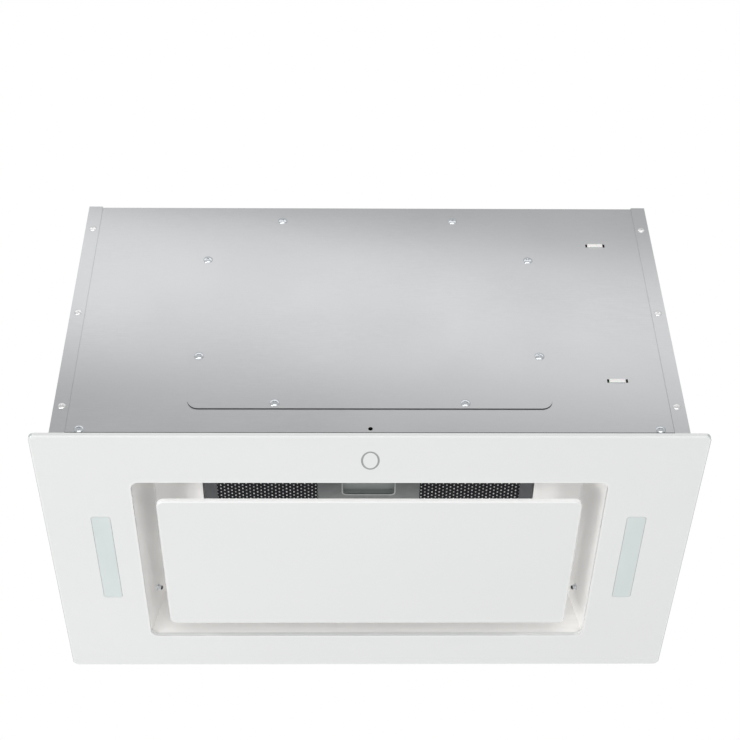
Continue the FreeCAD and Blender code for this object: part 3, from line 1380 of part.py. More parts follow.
# --------------------------------------------------------------------- export
def all_pieces():
    side, lens, tray, leds = housing_side(), lamp_lens(), lamp_tray(), led_board()
    return {
        "glass_frame": glass_frame(),
        "glass_bond": glass_bond(),
        "base_pan": base_pan(),
        "housing_front": housing_front(),
        "housing_back": housing_back(),
        "housing_right_side": side,
        "housing_left_side": mirrored(side),
        "housing_top": housing_top(),
        "access_plate": access_plate(),
        "access_plate_screws": access_plate_screws(),
        "base_screws": base_screws(),
        "housing_rivets": housing_rivets(),
        "hanging_plates": hanging_plates(),
        "cable_ties": Part.makeCompound([cable_tie(z) for z in tie_zs()]),
        "wiring_harness": wiring_harness(),
        "lamp_lens_right": lens,
        "lamp_lens_left": mirrored(lens),
        "lamp_tray_right": tray,
        "lamp_tray_left": mirrored(tray),
        "led_board_right": leds,
        "led_board_left": mirrored(leds),
        "touch_sensor_pad": touch_sensor_pad(),
        "touch_board": touch_board(),
        "touch_board_cover": touch_board_cover(),
        "recess_tray": recess_tray(),
        "recess_side_walls": recess_side_walls(),
        "tray_rivet_nuts": tray_rivet_nuts(),
        "filter_seat": filter_seat(),
        "centre_glass": centre_glass(),
        "panel_bond": panel_bond(),
        "panel_carrier": panel_carrier(),
        "hinge_pins": hinge_pins(),
        "strike_plates": strike_plates(),
        "hinge_brackets": hinge_brackets(),
        "catch_brackets": catch_brackets(),
        "catch_magnets": catch_magnets(),
        "filter_frame": filter_frame(),
        "filter_face": filter_face(),
        "filter_mesh": filter_mesh(),
        "filter_back": filter_back(),
        "handle_plate": handle_plate(),
        "filter_latch": filter_latch(),
        "blower_wrap": blower_wrap(),
        "blower_front_plate": blower_side(-1),
        "blower_back_plate": blower_side(1),
        "impeller": impeller(),
        "motor_shaft": motor_shaft(),
        "motor": motor(),
        "motor_bracket": motor_bracket(),
        "motor_screws": motor_screws(),
        "run_capacitor": run_capacitor(),
        "capacitor_clip": capacitor_clip(),
        "outlet_collar": outlet_collar(),
        "collar_screws": collar_screws(),
        "damper_flap_left": damper_flap(-1),
        "damper_flap_right": damper_flap(1),
        "control_box": control_box(),
        "control_box_lid": control_box_lid(),
        "control_board": control_board(),
        "supply_gland": supply_gland(),
    }


def main():
    os.makedirs("parts", exist_ok=True)
    for name, shape in all_pieces().items():
        if not shape.isValid() or not shape.Solids:
            raise ValueError("bad solid: " + name)
        shape.exportStep("parts/" + name + ".step")
        print(name, len(shape.Solids), round(shape.Volume, 1))


main()
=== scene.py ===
import math

import bmesh
import bpy
from mathutils import Matrix, Vector


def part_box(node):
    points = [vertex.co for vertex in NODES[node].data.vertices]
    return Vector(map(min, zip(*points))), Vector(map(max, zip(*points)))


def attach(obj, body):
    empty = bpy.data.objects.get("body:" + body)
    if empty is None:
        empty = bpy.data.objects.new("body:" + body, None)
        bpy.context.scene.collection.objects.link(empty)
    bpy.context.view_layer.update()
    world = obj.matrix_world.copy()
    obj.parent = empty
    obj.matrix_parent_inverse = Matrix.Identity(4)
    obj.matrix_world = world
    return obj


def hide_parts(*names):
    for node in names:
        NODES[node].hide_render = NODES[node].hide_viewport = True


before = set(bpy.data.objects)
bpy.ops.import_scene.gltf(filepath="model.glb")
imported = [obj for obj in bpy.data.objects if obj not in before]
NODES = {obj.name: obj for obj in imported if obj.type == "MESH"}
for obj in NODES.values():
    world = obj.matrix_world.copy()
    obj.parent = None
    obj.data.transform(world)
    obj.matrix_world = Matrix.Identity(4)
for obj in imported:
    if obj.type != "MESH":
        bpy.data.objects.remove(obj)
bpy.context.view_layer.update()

bl_info = {
    "name": "Ceiling Range Hood",
    "version": (1, 0, 0),
    "blender": (4, 5, 0),
    "location": "3D View > Sidebar > Range Hood",
    "description": "Dresses a ceiling range hood: glass, steel sheet, filter, fasteners and studio",
    "category": "Object",
}

MM = 0.001

EVEN = (1.0, 1.0, 1.0)        # a pattern that isn't stretched

# Where the paint on the glass ends, seen from below; the clear bands there are painted lighter as a
# highlight
FRAME_CORNER = 6.0 * MM
PANEL_CORNER = 9.0 * MM
OPENING_CORNER = 10.0 * MM
OPENING = (Vector((-0.2595, -0.133, 0)), Vector((0.2595, 0.147, 0)))
RIM_FADE = 0.8                # share of a painted band's width where it begins to fade
ANY_HEIGHT = 10.0             # the band runs through the whole thickness of the glass

# Small shapes
EDGE_SEGMENTS = 2             # faces across a small rounded edge
CELL_MERGE = 0.02 * MM        # corners of neighbouring cells join within this
BEAD_SIDES = 12
BEAD_END = 0.6                # rounding of a bead's ends over its radius
FOOT_GAP = 0.1 * MM           # gap between the ceiling plane and the dark strip at the wall's foot, which is painted shadow
FOOT_ROUND = 0.4              # rounding over the strip's thickness
LIP_SEGMENTS = 5
LIP_ROUND = 0.35              # rounding over the lip's height
LIP_SINK = 1 / 3              # share of the lip's height between its middle and the handle
BORE_SHADE_CROWN = 0.35             # flat crown over the radius of the dark domes in the bushes' ends
BORE_SHADE_SIDES = 24
RING_SIDES = 96
DOME_SEGMENTS = 6
SCREW_CROWN = 0.22            # flat crown over the head's radius
SCREW_SIDES = 32
SCREW_TURN = 0.7              # turn from one screw to the next, in radians
CROSS_REACH = 1.15            # length of a cross arm over the head's radius
CROSS_TAPER = (0.45, 0.6, 1)  # foot of a cross arm over its top
RIVET_SIDES = 24
HOLE_RIM = 0.15               # flat round the mandrel hole over the hole's radius
HOLE_DEPTH = 0.7              # depth of the mandrel hole over the head's height
TAIL_REACH = 0.1 * MM         # the handle's back edge is found within this

# Camera of the photograph
CAMERA_PLACE = (-0.02693, -1.43717, -1.14133)
CAMERA_YAW = math.radians(-1.26)
CAMERA_PITCH = math.radians(45.11)
CAMERA_ROLL = math.radians(0.80)
SENSOR_WIDTH = 36.0
VIEW_REACH = 60.0             # farthest distance in view

# Room
FLOOR_SIZE = 16.0
FLOOR_LIGHT_SIZE = (7.2, 7.2)
FLOOR_LIGHT_RISE = 0.2        # floor light above the floor
FLOOR_LIGHT_Y = 0.3

# Soft lights: name, place, target, size and the setting that holds the power
SOFT_LIGHTS = (
    ("strip_light", (0.0, -0.45, 0.47), (0.035, -0.2, 0.21), (1.3, 0.20), "strip_power"),
    ("recess_light", (0.006, 0.045, 0.030), (0.006, 0.045, 0.055), (0.43, 0.20), "recess_power"),
    ("key_light", (-2.6, -0.5, -2.0), (0.0, 0.0, 0.0), (1.5, 1.5), "key_power"),
    ("front_fill", (0.0, -3.2, -1.1), (0.0, -0.2, 0.1), (3.0, 1.4), "fill_power"),
)


# ------------------------------------------------------------------- settings
def tint(name, description, default):
    """Colour setting."""
    return bpy.props.FloatVectorProperty(
        name=name, description=description, subtype="COLOR", size=3, min=0.0, max=1.0,
        default=default,
    )


def length(name, description, millimetres, least=0.1):
    """Length setting, its default and least value given in millimetres."""
    return bpy.props.FloatProperty(
        name=name, description=description, default=millimetres * MM, min=least * MM,
        unit="LENGTH",
    )


def share(name, description, default, least, most):
    """Setting that is one measure over another."""
    return bpy.props.FloatProperty(
        name=name, description=description, default=default, min=least, max=most,
    )


def power(name, description, default):
    """Power setting of a light."""
    return bpy.props.FloatProperty(
        name=name, description=description, default=default, min=0.0, unit="POWER",
    )


class HoodFinishSettings(bpy.types.PropertyGroup):
    """Colours of the hood's finishes."""

    glass_tint: tint("Glass", "White back-painted glass", (0.600, 0.611, 0.608))
    # Clear band: glass beyond its paint, painted a little lighter than the face as a painted
    # highlight
    glass_band_and_highlight_tint: tint(
        "Clear band", "Glass beyond the edge of its paint", (0.625, 0.638, 0.633)
    )
    clear_band: length("Clear band width", "Paint's distance from the edge", 2.6)
    # Front and back edges: polished glass painted lighter than the face, as painted light where
    # less light falls on them
    glass_front_polish_and_light_tint: tint("Long edges", "Polished front and back edges", (0.76, 0.772, 0.767))
    glass_edge_tint: tint("Side edges", "Polished side edges", (0.47, 0.53, 0.51))
    zinc_tint: tint("Galvanised sheet", "Zinc coat of the housing", (0.60, 0.61, 0.62))
    steel_tint: tint("Stainless tray", "Brushed steel of the recess", (0.92, 0.908, 0.892))
    screen_tint: tint("Filter screen", "Black perforated sheet", (0.012, 0.013, 0.016))
    handle_tint: tint("Handle", "Grey plastic of the filter handle", (0.125, 0.137, 0.134))


class HoodScreenSettings(bpy.types.PropertyGroup):
    """Perforation of the filter's face."""

    column_pitch: length("Column pitch", "From one column of holes to the next", 4.17)
    row_pitch: length("Row pitch", "From one hole to the next in a column", 5.8)
    web: length("Web", "Half of the metal between two holes", 1.5)
    thickness: length("Thickness", "Thickness of the perforated sheet", 0.4)


class HoodMarkSettings(bpy.types.PropertyGroup):
    """Printed ring over the touch sensor."""

    width: length("Width", "Outer width of the ring, left to right", 20.0)
    depth: length("Depth", "Outer depth of the ring, front to back", 29.0)
    stroke: length("Stroke", "Width of the ring's line", 2.2)
    ink: length("Ink", "Thickness of the print", 0.06, 0.01)


class HoodFastenerSettings(bpy.types.PropertyGroup):
    """Screw heads, rivet heads and softened edges."""

    head_share: share("Head size", "Radius of a screw's head over the CAD head's", 1.12, 0.8, 1.3)
    pan_share: share("Pan height", "Height of a screw's head over its radius", 0.56, 0.1, 1.0)
    rivet_size: share("Rivet size", "Radius of a rivet's head over the CAD head's", 1.2, 0.8, 1.3)
    rivet_share: share("Rivet height", "Height of a rivet's head over its radius", 0.42, 0.1, 1.0)
    cross_width: length("Cross width", "Width of a screw's cross recess", 1.0)
    cross_depth: length("Cross depth", "Depth of a screw's cross recess", 1.1)
    mandrel_radius: length("Mandrel hole", "Radius of the hole in a rivet's head", 1.1)
    moulded_edge: length("Moulded edge", "Radius on the edges of plastic parts", 0.45)


class HoodRecessSettings(bpy.types.PropertyGroup):
    """Fold beads and handle lip painted light as highlights; bushes with dark domes and dark strips
    as painted shade.
    """

    # The bead stands for the fold's rounded bend; its white is a painted highlight
    bead_radius: length("Bead radius", "Radius of the dressed weld bead", 1.25)
    fold_half: length("Fold", "From the middle of the hood to the fold, left to right", 244.9)
    fold_height: length("Fold height", "Height of the fold above the ceiling plane", 54.8)
    fold_inset: length("Fold inset", "From the recess's mouth to its fold, from below", 15.0)
    wall_face: length("Wall face", "Housing's front face, front to back", -198.0, -1000.0)
    # Dark strip at the wall's foot: painted shadow where the wall meets the glass
    foot_height: length("Foot seal height", "Height of the strip at the wall's foot", 9.0)
    foot_thickness: length("Foot seal thickness", "Thickness of the strip before the wall", 0.25)
    # Dark strip behind the access plate: painted shadow of the gap round it
    shadow_side: length("Seal at the sides", "Seal beyond the plate's side edges", 0.04, 0.0)
    shadow_drop: length("Seal below", "Seal beyond the plate's lower edge", 0.7, 0.0)
    shadow_thickness: length("Seal thickness", "Thickness of the seal", 0.45)
    pocket_width: length("Lip width", "Outer width of the pocket's lip", 61.8)
    pocket_depth: length("Lip depth", "Outer depth of the pocket's lip", 27.0)
    pocket_middle: length("Lip place", "Middle of the pocket, front to back", -57.0, -1000.0)
    pocket_corner: length("Lip corner", "Radius of the lip's corners", 5.5)
    tail: length("Handle tail", "Handle's thin end over the screen's plain margin", 4.0, 0.0)
    lip_width: length("Lip line", "Width of the lip's line", 1.6)
    lip_height: length("Lip height", "Height of the lip below the handle", 0.9)
    wall_lean: bpy.props.FloatProperty(
        name="Wall lean", description="Lean of the recess walls off the upright",
        default=math.atan(15 / 55), subtype="ANGLE",
    )
    bush_radius: length("Bush radius", "Radius of the threaded bushes", 2.7)
    # Black domes in the bushes' ends: painted shade in the bores
    bore_shade_radius: length("Plug radius", "Radius of the black plugs in the bushes", 2.3)
    bore_shade_height: length("Plug height", "How far a plug stands out of its bush", 1.4)


class HoodStageSettings(bpy.types.PropertyGroup):
    """Floor, light and camera."""

    floor_drop: length("Floor", "Room floor below the ceiling plane", 2400.0, 500.0)
    room_light: bpy.props.FloatProperty(
        name="Room light", description="Strength of the even light all round",
        default=0.60, min=0.0,
    )
    strip_power: power("Strip light", "Soft strip before the front wall", 0.46)
    recess_power: power("Recess light", "Small soft light in the recess", 0.22)
    floor_power: power("Floor light", "Wide soft light over the floor", 92.0)
    fill_power: power("Front fill", "Soft light before the hood", 28.0)
    key_power: power("Key light", "Soft light from the lower left", 42.0)
    lens: bpy.props.FloatProperty(
        name="Lens", description="Focal length on a 36 mm sensor", default=77.56,
        min=1.0, unit="CAMERA",
    )


SETTINGS = {
    "hood_finish": HoodFinishSettings,
    "hood_screen": HoodScreenSettings,
    "hood_mark": HoodMarkSettings,
    "hood_fasteners": HoodFastenerSettings,
    "hood_recess": HoodRecessSettings,
    "hood_stage": HoodStageSettings,
}


# --------------------------------------------------------------- node helpers
class Finish:
    """One material under construction, its patterns laid out on the piece itself."""

    def __init__(self, name, metallic=0.0, roughness=0.5):
        self.material = bpy.data.materials.new(name)
        self.material.use_nodes = True
        self.tree = self.material.node_tree
        self.tree.nodes.clear()
        self.shader = self.node("BsdfPrincipled", Metallic=metallic, Roughness=roughness)
        self.node("OutputMaterial", Surface=self.shader.outputs["BSDF"])

    def node(self, kind, **inputs):
        """A new node whose inputs are values or other nodes' outputs."""
        node = self.tree.nodes.new("ShaderNode" + kind)
        for name, value in inputs.items():
            self.feed(value, node.inputs[name.replace("_", " ")])
        return node

    def feed(self, value, socket):
        if isinstance(value, bpy.types.NodeSocket):
            self.tree.links.new(value, socket)
        elif socket.type == "RGBA":
            socket.default_value = (*value[:3], 1.0)
        else:
            socket.default_value = value

    def place(self, stretch=EVEN):
        """Object coordinates, stretched along the axes."""
        coords = self.node("TexCoord").outputs["Object"]
        return self.node("Mapping", Vector=coords, Scale=stretch).outputs["Vector"]

    def noise(self, scale, detail=3.0, stretch=EVEN):
        vector = self.place(stretch)
        return self.node("TexNoise", Scale=scale, Detail=detail, Vector=vector).outputs["Fac"]

    def cells(self, scale, stretch=EVEN):
        """Random grey per cell, as in zinc spangle."""
        cells = self.node("TexVoronoi", Scale=scale, Vector=self.place(stretch))
        return self.node("SeparateColor", Color=cells.outputs["Color"]).outputs["Red"]

    def spread(self, source, low, high, floor=0.3, ceiling=0.7):
        """Maps a pattern's middle range onto two values."""
        return self.node(
            "MapRange", Value=source, From_Min=floor, From_Max=ceiling, To_Min=low, To_Max=high,
        ).outputs["Result"]

    def mix(self, factor, first, second):
        """Colour between two colours, each a value or a socket."""
        node = self.tree.nodes.new("ShaderNodeMix")
        node.data_type = "RGBA"
        self.feed(factor, node.inputs["Factor"])
        self.feed(first, node.inputs[6])
        self.feed(second, node.inputs[7])
        return node.outputs[2]

    def colour(self, value):
        self.feed(value, self.shader.inputs["Base Color"])
        return self

    def roughness(self, value):
        self.feed(value, self.shader.inputs["Roughness"])
        return self

    def bump(self, height, strength, distance):
        node = self.node("Bump", Strength=strength, Distance=distance, Height=height)
        self.feed(node.outputs["Normal"], self.shader.inputs["Normal"])
        return self

    def rim(self, low, high, radius, width, outside=False):
        """1 on a band along the border of a level rectangle with round corners."""
        middle = (low + high) / 2
        half = (high - low) / 2
        place = self.node("TexCoord").outputs["Object"]
        steps = (
            ("SUBTRACT", (middle.x, middle.y, 0.0)),
            ("ABSOLUTE", None),
            ("SUBTRACT", (half.x - radius, half.y - radius, ANY_HEIGHT)),
            ("MAXIMUM", (0.0, 0.0, 0.0)),
            ("LENGTH", None),
        )
        for operation, value in steps:
            node = self.node("VectorMath")
            node.operation = operation
            self.feed(place, node.inputs[0])
            if value:
                node.inputs[1].default_value = value
            place = node.outputs["Value" if operation == "LENGTH" else "Vector"]
        if outside:
            return self.spread(place, 1.0, 0.0, radius + width * RIM_FADE, radius + width)
        return self.spread(place, 0.0, 1.0, radius - width, radius - width * RIM_FADE)

    def edge_mask(self, axis, low, high):
        """0 to 1 as a face turns from low to high towards an axis of the piece."""
        split = self.node("SeparateXYZ", Vector=self.node("TexCoord").outputs["Normal"])
        size = self.node("Math", Value=split.outputs[axis])
        size.operation = "ABSOLUTE"
        return self.spread(size.outputs["Value"], 0.0, 1.0, low, high)

    def above(self, height, fade):
        """0 below a height of the piece, 1 above it."""
        split = self.node("SeparateXYZ", Vector=self.node("TexCoord").outputs["Object"])
        return self.spread(split.outputs["Z"], 0.0, 1.0, height, height + fade)

    def coat(self, weight, roughness):
        """Clear gloss over the colour."""
        self.shader.inputs["Coat Weight"].default_value = weight
        self.shader.inputs["Coat Roughness"].default_value = roughness
        return self

    def glow_through(self, weight, scale):
        """Light that enters and leaves a little further on, as in nylon."""
        self.shader.inputs["Subsurface Weight"].default_value = weight
        self.shader.inputs["Subsurface Scale"].default_value = scale
        return self

    def relief(self, scale, detail, strength, distance):
        """Fine bumps all over."""
        return self.bump(self.noise(scale, detail), strength, distance)

    def uneven(self, scale, roughness):
        """Roughness that wanders a little about its middle."""
        wander = self.noise(scale, 2.0)
        return self.roughness(self.spread(wander, roughness - 0.06, roughness + 0.08))


def shade(colour, factor):
    """The same colour, darker or lighter."""
    return tuple(min(1.0, c * factor) for c in colour)


def clouded(
    name, first, second, scale, detail=3.0, stretch=EVEN, span=(0.3, 0.7),
    roughness=0.5, metallic=0.0,
):
    """Finish whose colour drifts between two colours."""
    finish = Finish(name, metallic, roughness)
    cloud = finish.spread(finish.noise(scale, detail, stretch), 0.0, 1.0, *span)
    return finish.colour(finish.mix(cloud, first, second))


# ------------------------------------------------------------------ materials
def back_painted_glass(name, settings, borders, green=None):
    """White glass whose paint stops short of its polished edges; green on its outer sides. The
    front and back edges are painted lighter as painted light, the panel's the most, and the clear
    bands a little lighter as a painted highlight.
    """
    finish = Finish(name, roughness=0.22)
    cloud = finish.spread(finish.noise(2.5, 2.0), 0.0, 1.0)
    white = settings.glass_tint
    face = finish.mix(cloud, shade(white, 0.985), shade(white, 1.01))
    # Clear bands along the edges, painted a little lighter as a painted highlight
    for low, high, radius, outside in borders:
        band = finish.rim(low, high, radius, settings.clear_band, outside)
        face = finish.mix(band, face, settings.glass_band_and_highlight_tint)
    # Painted light: the front and back edges lighter than the face, the panel's by a further 1.35
    edge_colour_and_painted_light = shade(settings.glass_front_polish_and_light_tint, 1.0 if green else 1.35)
    if green:
        low, high, radius = green
        sides = finish.edge_mask("X", 0.25, 0.45)
        side = finish.mix(sides, edge_colour_and_painted_light, settings.glass_edge_tint)
        edge_colour_and_painted_light = finish.mix(finish.rim(low, high, radius, settings.clear_band), edge_colour_and_painted_light, side)
    finish.colour(finish.mix(finish.edge_mask("Z", 0.9, 0.3), face, edge_colour_and_painted_light))
    finish.roughness(finish.spread(finish.noise(60.0, 2.0), 0.18, 0.24))
    return finish.coat(1.0, 0.015).material


def galvanised_sheet(zinc):
    """Rolled sheet under a zinc coat with faint spangle."""
    finish = Finish("galvanised_sheet", metallic=1.0, roughness=0.32)
    grain = finish.spread(finish.noise(900.0, 3.0, (0.05, 1.0, 1.0)), 0.0, 1.0)
    spangle = finish.spread(finish.cells(160.0, (1.0, 1.0, 1.35)), 0.0, 1.0, 0.0, 1.0)
    cloud = finish.spread(finish.noise(5.0, 3.0, (0.6, 1.0, 1.5)), 0.0, 1.0)
    rolled = finish.mix(grain, shade(zinc, 0.93), shade(zinc, 1.05))
    coated = finish.mix(spangle, shade(zinc, 0.975), shade(zinc, 1.02))
    both = finish.mix(0.5, rolled, coated)
    finish.colour(finish.mix(cloud, both, shade(zinc, 1.015)))
    return finish.roughness(finish.spread(finish.noise(9.0, 2.0), 0.28, 0.34)).material


def brushed_stainless(name, steel, along):
    """Satin steel brushed along one axis."""
    finish = Finish(name, metallic=0.15, roughness=0.36)
    streak = finish.spread(finish.noise(420.0, 3.0, along), 0.0, 1.0)
    base = finish.mix(streak, shade(steel, 0.975), shade(steel, 1.02))
    cloud = finish.spread(finish.noise(11.0, 3.0), 0.0, 1.0)
    finish.colour(finish.mix(cloud, base, shade(steel, 0.985)))
    return finish.roughness(finish.spread(streak, 0.33, 0.39)).material


def bright_metal(name, metal, roughness):
    """Zinc or aluminium on screws, pins, nuts and rivets."""
    low, high = shade(metal, 0.9), shade(metal, 1.06)
    finish = clouded(name, low, high, 700.0, roughness=roughness, metallic=1.0)
    return finish.uneven(500.0, roughness).material


def moulded_plastic(name, plastic, roughness=0.5):
    low, high = shade(plastic, 0.92), shade(plastic, 1.08)
    finish = clouded(name, low, high, 140.0, 2.0, roughness=roughness)
    return finish.uneven(260.0, roughness).relief(1800.0, 2.0, 0.16, 0.00008).material


def handle_plastic(grey):
    """Grey plastic, painted paler in the finger pocket as painted light."""
    finish = Finish("handle_plastic", roughness=0.42)
    low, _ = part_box("handle_plate")
    cloud = finish.spread(finish.noise(140.0, 2.0), 0.0, 1.0)
    face = finish.mix(cloud, shade(grey, 0.94), shade(grey, 1.06))
    # Painted light: the pocket's floor 2.6 times paler than the face
    painted_pocket_light = finish.above(low.z + 1.2 * MM, 0.6 * MM)
    finish.colour(finish.mix(painted_pocket_light, face, shade(grey, 2.6)))
    return finish.relief(1800.0, 2.0, 0.12, 0.00008).material


def satin_paint(name, paint, roughness=0.38, gloss=0.5):
    low, high = shade(paint, 0.94), shade(paint, 1.06)
    finish = clouded(name, low, high, 60.0, roughness=roughness)
    finish.shader.inputs["Specular IOR Level"].default_value = gloss
    return finish.relief(1300.0, 2.0, 0.12, 0.00005).material


def braided_sleeve():
    finish = Finish("braided_sleeve", roughness=0.75)
    weave = finish.cells(900.0)
    strand = finish.spread(weave, 0.0, 1.0)
    finish.colour(finish.mix(strand, (0.015, 0.015, 0.016), (0.05, 0.05, 0.052)))
    return finish.bump(weave, 0.6, 0.0003).material


def circuit_laminate():
    finish = Finish("circuit_laminate", roughness=0.35)
    pattern = finish.cells(260.0)
    tracks = finish.spread(pattern, 0.0, 1.0, 0.45, 0.55)
    finish.colour(finish.mix(tracks, (0.01, 0.10, 0.045), (0.02, 0.17, 0.08)))
    return finish.bump(pattern, 0.2, 0.0001).coat(0.6, 0.15).material


def make_finishes(settings):
    """Every finish of the hood by the name that its nodes ask for."""
    steel = settings.steel_tint
    return {
        "frame_glass": back_painted_glass("frame_glass", settings, (
            (*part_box("glass_frame"), FRAME_CORNER, False),
            (*OPENING, OPENING_CORNER, True),
        ), (*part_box("glass_frame"), FRAME_CORNER)),
        "panel_glass": back_painted_glass("panel_glass", settings, (
            (*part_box("centre_glass"), PANEL_CORNER, False),
        )),
        "galvanised": galvanised_sheet(settings.zinc_tint),
        "stainless": brushed_stainless("stainless_channel", steel, (0.03, 1.0, 1.0)),
        "side_steel": brushed_stainless("stainless_sides", steel, (1.0, 0.03, 1.0)),
        # White beads at the folds: a painted highlight
        "fold_highlight": satin_paint("dressed_weld", (0.98, 0.975, 0.965), 0.3),
        # Black satin of the strips behind the access plate and at the wall's foot: painted shadow
        "painted_shadow": satin_paint("plate_seal", (0.03, 0.03, 0.032), 0.6),
        # The pocket's lip: paler grey as a painted highlight
        "lip_plastic": moulded_plastic("lip_plastic", (0.40, 0.42, 0.405), 0.42),
        "zinc": bright_metal("bright_zinc", (0.70, 0.73, 0.76), 0.16),
        "rivet": bright_metal("rivet_aluminium", (0.88, 0.88, 0.88), 0.3),
        "nylon": clouded(
            "natural_nylon", (0.80, 0.80, 0.78), (0.87, 0.87, 0.85), 90.0, 2.0, roughness=0.42,
        ).glow_through(0.15, 0.002).relief(700.0, 1.0, 0.08, 0.00005).material,
        "lens": clouded(
            "frosted_lens", (0.475, 0.53, 0.523), (0.51, 0.565, 0.558), 30.0, 2.0,
            (1.0, 0.4, 1.0), roughness=0.32,
        ).relief(1500.0, 1.0, 0.05, 0.00002).coat(1.0, 0.03).material,
        "black_plastic": moulded_plastic("black_plastic", (0.02, 0.02, 0.022)),
        "wheel_plastic": moulded_plastic("wheel_plastic", (0.035, 0.036, 0.04), 0.45),
        "handle_plastic": handle_plastic(settings.handle_tint),
        "capacitor": moulded_plastic("capacitor_case", (0.62, 0.62, 0.60), 0.4),
        "filter_paint": satin_paint("filter_paint", (0.048, 0.050, 0.056)),
        "screen": satin_paint("screen_paint", settings.screen_tint, 0.42, 0.06),
        "mesh": clouded(
            "expanded_aluminium", (0.36, 0.355, 0.345), (0.84, 0.835, 0.82), 420.0, 2.0,
            (1.0, 1.0, 0.3), (0.35, 0.62), roughness=0.45, metallic=0.1,
        ).relief(420.0, 2.0, 0.5, 0.0004).material,
        "aluminium": clouded(
            "rolled_aluminium", (0.60, 0.60, 0.60), (0.70, 0.70, 0.69), 200.0,
            stretch=(0.05, 1.0, 1.0), roughness=0.35, metallic=1.0,
        ).relief(600.0, 2.0, 0.08, 0.00005).material,
        "cast_alloy": clouded(
            "cast_alloy", (0.38, 0.38, 0.39), (0.48, 0.48, 0.48), 220.0, 4.0,
            roughness=0.55, metallic=0.9,
        ).relief(900.0, 3.0, 0.4, 0.0002).material,
        "magnet": clouded(
            "sintered_magnet", (0.035, 0.035, 0.038), (0.07, 0.07, 0.075), 900.0, roughness=0.6,
        ).relief(1200.0, 2.0, 0.3, 0.0001).material,
        "sealant": clouded(
            "sealant", (0.10, 0.10, 0.10), (0.15, 0.15, 0.15), 70.0, roughness=0.7,
        ).relief(500.0, 3.0, 0.4, 0.0002).material,
        "sleeve": braided_sleeve(),
        "circuit": circuit_laminate(),
        "ink": clouded(
            "printed_ink", (0.20, 0.205, 0.205), (0.25, 0.255, 0.255), 400.0, 2.0, roughness=0.35,
        ).coat(1.0, 0.03).material,
    }


NODE_FINISHES = {
    "frame_glass": ["glass_frame"],
    "panel_glass": ["centre_glass"],
    "galvanised": [
        "base_pan", "housing_front", "housing_back", "housing_left_side", "housing_right_side",
        "housing_top", "access_plate", "hanging_plates", "blower_wrap", "blower_front_plate",
        "blower_back_plate", "outlet_collar", "panel_carrier", "hinge_brackets",
        "catch_brackets", "filter_seat", "motor_bracket", "lamp_tray_left", "lamp_tray_right",
    ],
    "stainless": ["recess_tray"],
    "side_steel": ["recess_side_walls"],
    "zinc": [
        "access_plate_screws", "base_screws", "collar_screws", "motor_screws", "hinge_pins",
        "strike_plates", "tray_rivet_nuts", "motor_shaft",
    ],
    "rivet": ["housing_rivets"],
    "nylon": ["cable_ties"],
    "lens": ["lamp_lens_left", "lamp_lens_right"],
    "black_plastic": [
        "touch_board_cover", "control_box", "control_box_lid", "supply_gland", "filter_latch",
        "damper_flap_left", "damper_flap_right",
    ],
    "wheel_plastic": ["impeller"],
    "handle_plastic": ["handle_plate"],
    "capacitor": ["run_capacitor", "capacitor_clip"],
    "filter_paint": ["filter_frame"],
    "screen": ["filter_face"],
    "mesh": ["filter_mesh"],
    "aluminium": ["filter_back"],
    "cast_alloy": ["motor"],
    "magnet": ["catch_magnets"],
    "sealant": ["glass_bond", "panel_bond", "touch_sensor_pad"],
    "sleeve": ["wiring_harness"],
    "circuit": ["led_board_left", "led_board_right", "touch_board", "control_board"],
}


# -------------------------------------------------------------- mesh helpers
def deselect_all():
    if bpy.context.mode != "OBJECT":
        bpy.ops.object.mode_set(mode="OBJECT")
    bpy.ops.object.select_all(action="DESELECT")


def activate(piece):
    deselect_all()
    piece.select_set(True)
    bpy.context.view_layer.objects.active = piece


def edit(piece):
    activate(piece)
    bpy.ops.object.mode_set(mode="EDIT")


def done():
    bpy.ops.object.mode_set(mode="OBJECT")


def pick(piece, kind, test):
    """Selects the vertices, edges or faces whose middle and direction pass a test."""
    mesh = bmesh.from_edit_mesh(piece.data)
    for group in (mesh.verts, mesh.edges, mesh.faces):
        for item in group:
            item.select = False
    if kind == "FACE":
        chosen = [f for f in mesh.faces if test(f.calc_center_median(), f.normal)]
    elif kind == "EDGE":
        middle = [(e, (e.verts[0].co + e.verts[1].co) / 2) for e in mesh.edges]
        chosen = [e for e, m in middle if test(m, e.verts[1].co - e.verts[0].co)]
    else:
        chosen = [v for v in mesh.verts if test(v.co, v.normal)]
    for item in chosen:
        item.select = True
    mesh.select_flush_mode()
    bmesh.update_edit_mesh(piece.data)


def apply_modifier(piece, kind, **values):
    """Adds one modifier and applies it."""
    activate(piece)
    modifier = piece.modifiers.new(kind.title(), kind)
    for name, value in values.items():
        setattr(modifier, name, value)
    bpy.ops.object.modifier_apply(modifier=modifier.name)


def settle(piece, name, smooth=40.0):
    """Names a piece, puts its place into its mesh and shades it."""
    activate(piece)
    bpy.ops.object.transform_apply(location=True, rotation=True, scale=True)
    bpy.ops.object.shade_smooth_by_angle(angle=math.radians(smooth))
    piece.name = name
    piece.data.name = name
    return piece


def dress(piece, material, body, slot, *nodes):
    """Finish, body and the CAD nodes that a piece stands for. The slot is not used."""
    piece.data.materials.clear()
    piece.data.materials.append(material)
    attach(piece, body)
    if nodes:
        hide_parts(*nodes)
    return piece


def copy_of_node(node):
    """A merged copy of a CAD node's mesh as a new object."""
    piece = bpy.data.objects.new(node + "_copy", NODES[node].data.copy())
    bpy.context.scene.collection.objects.link(piece)
    edit(piece)
    bpy.ops.mesh.select_all(action="SELECT")
    bpy.ops.mesh.remove_doubles(threshold=1e-6)
    done()
    return piece


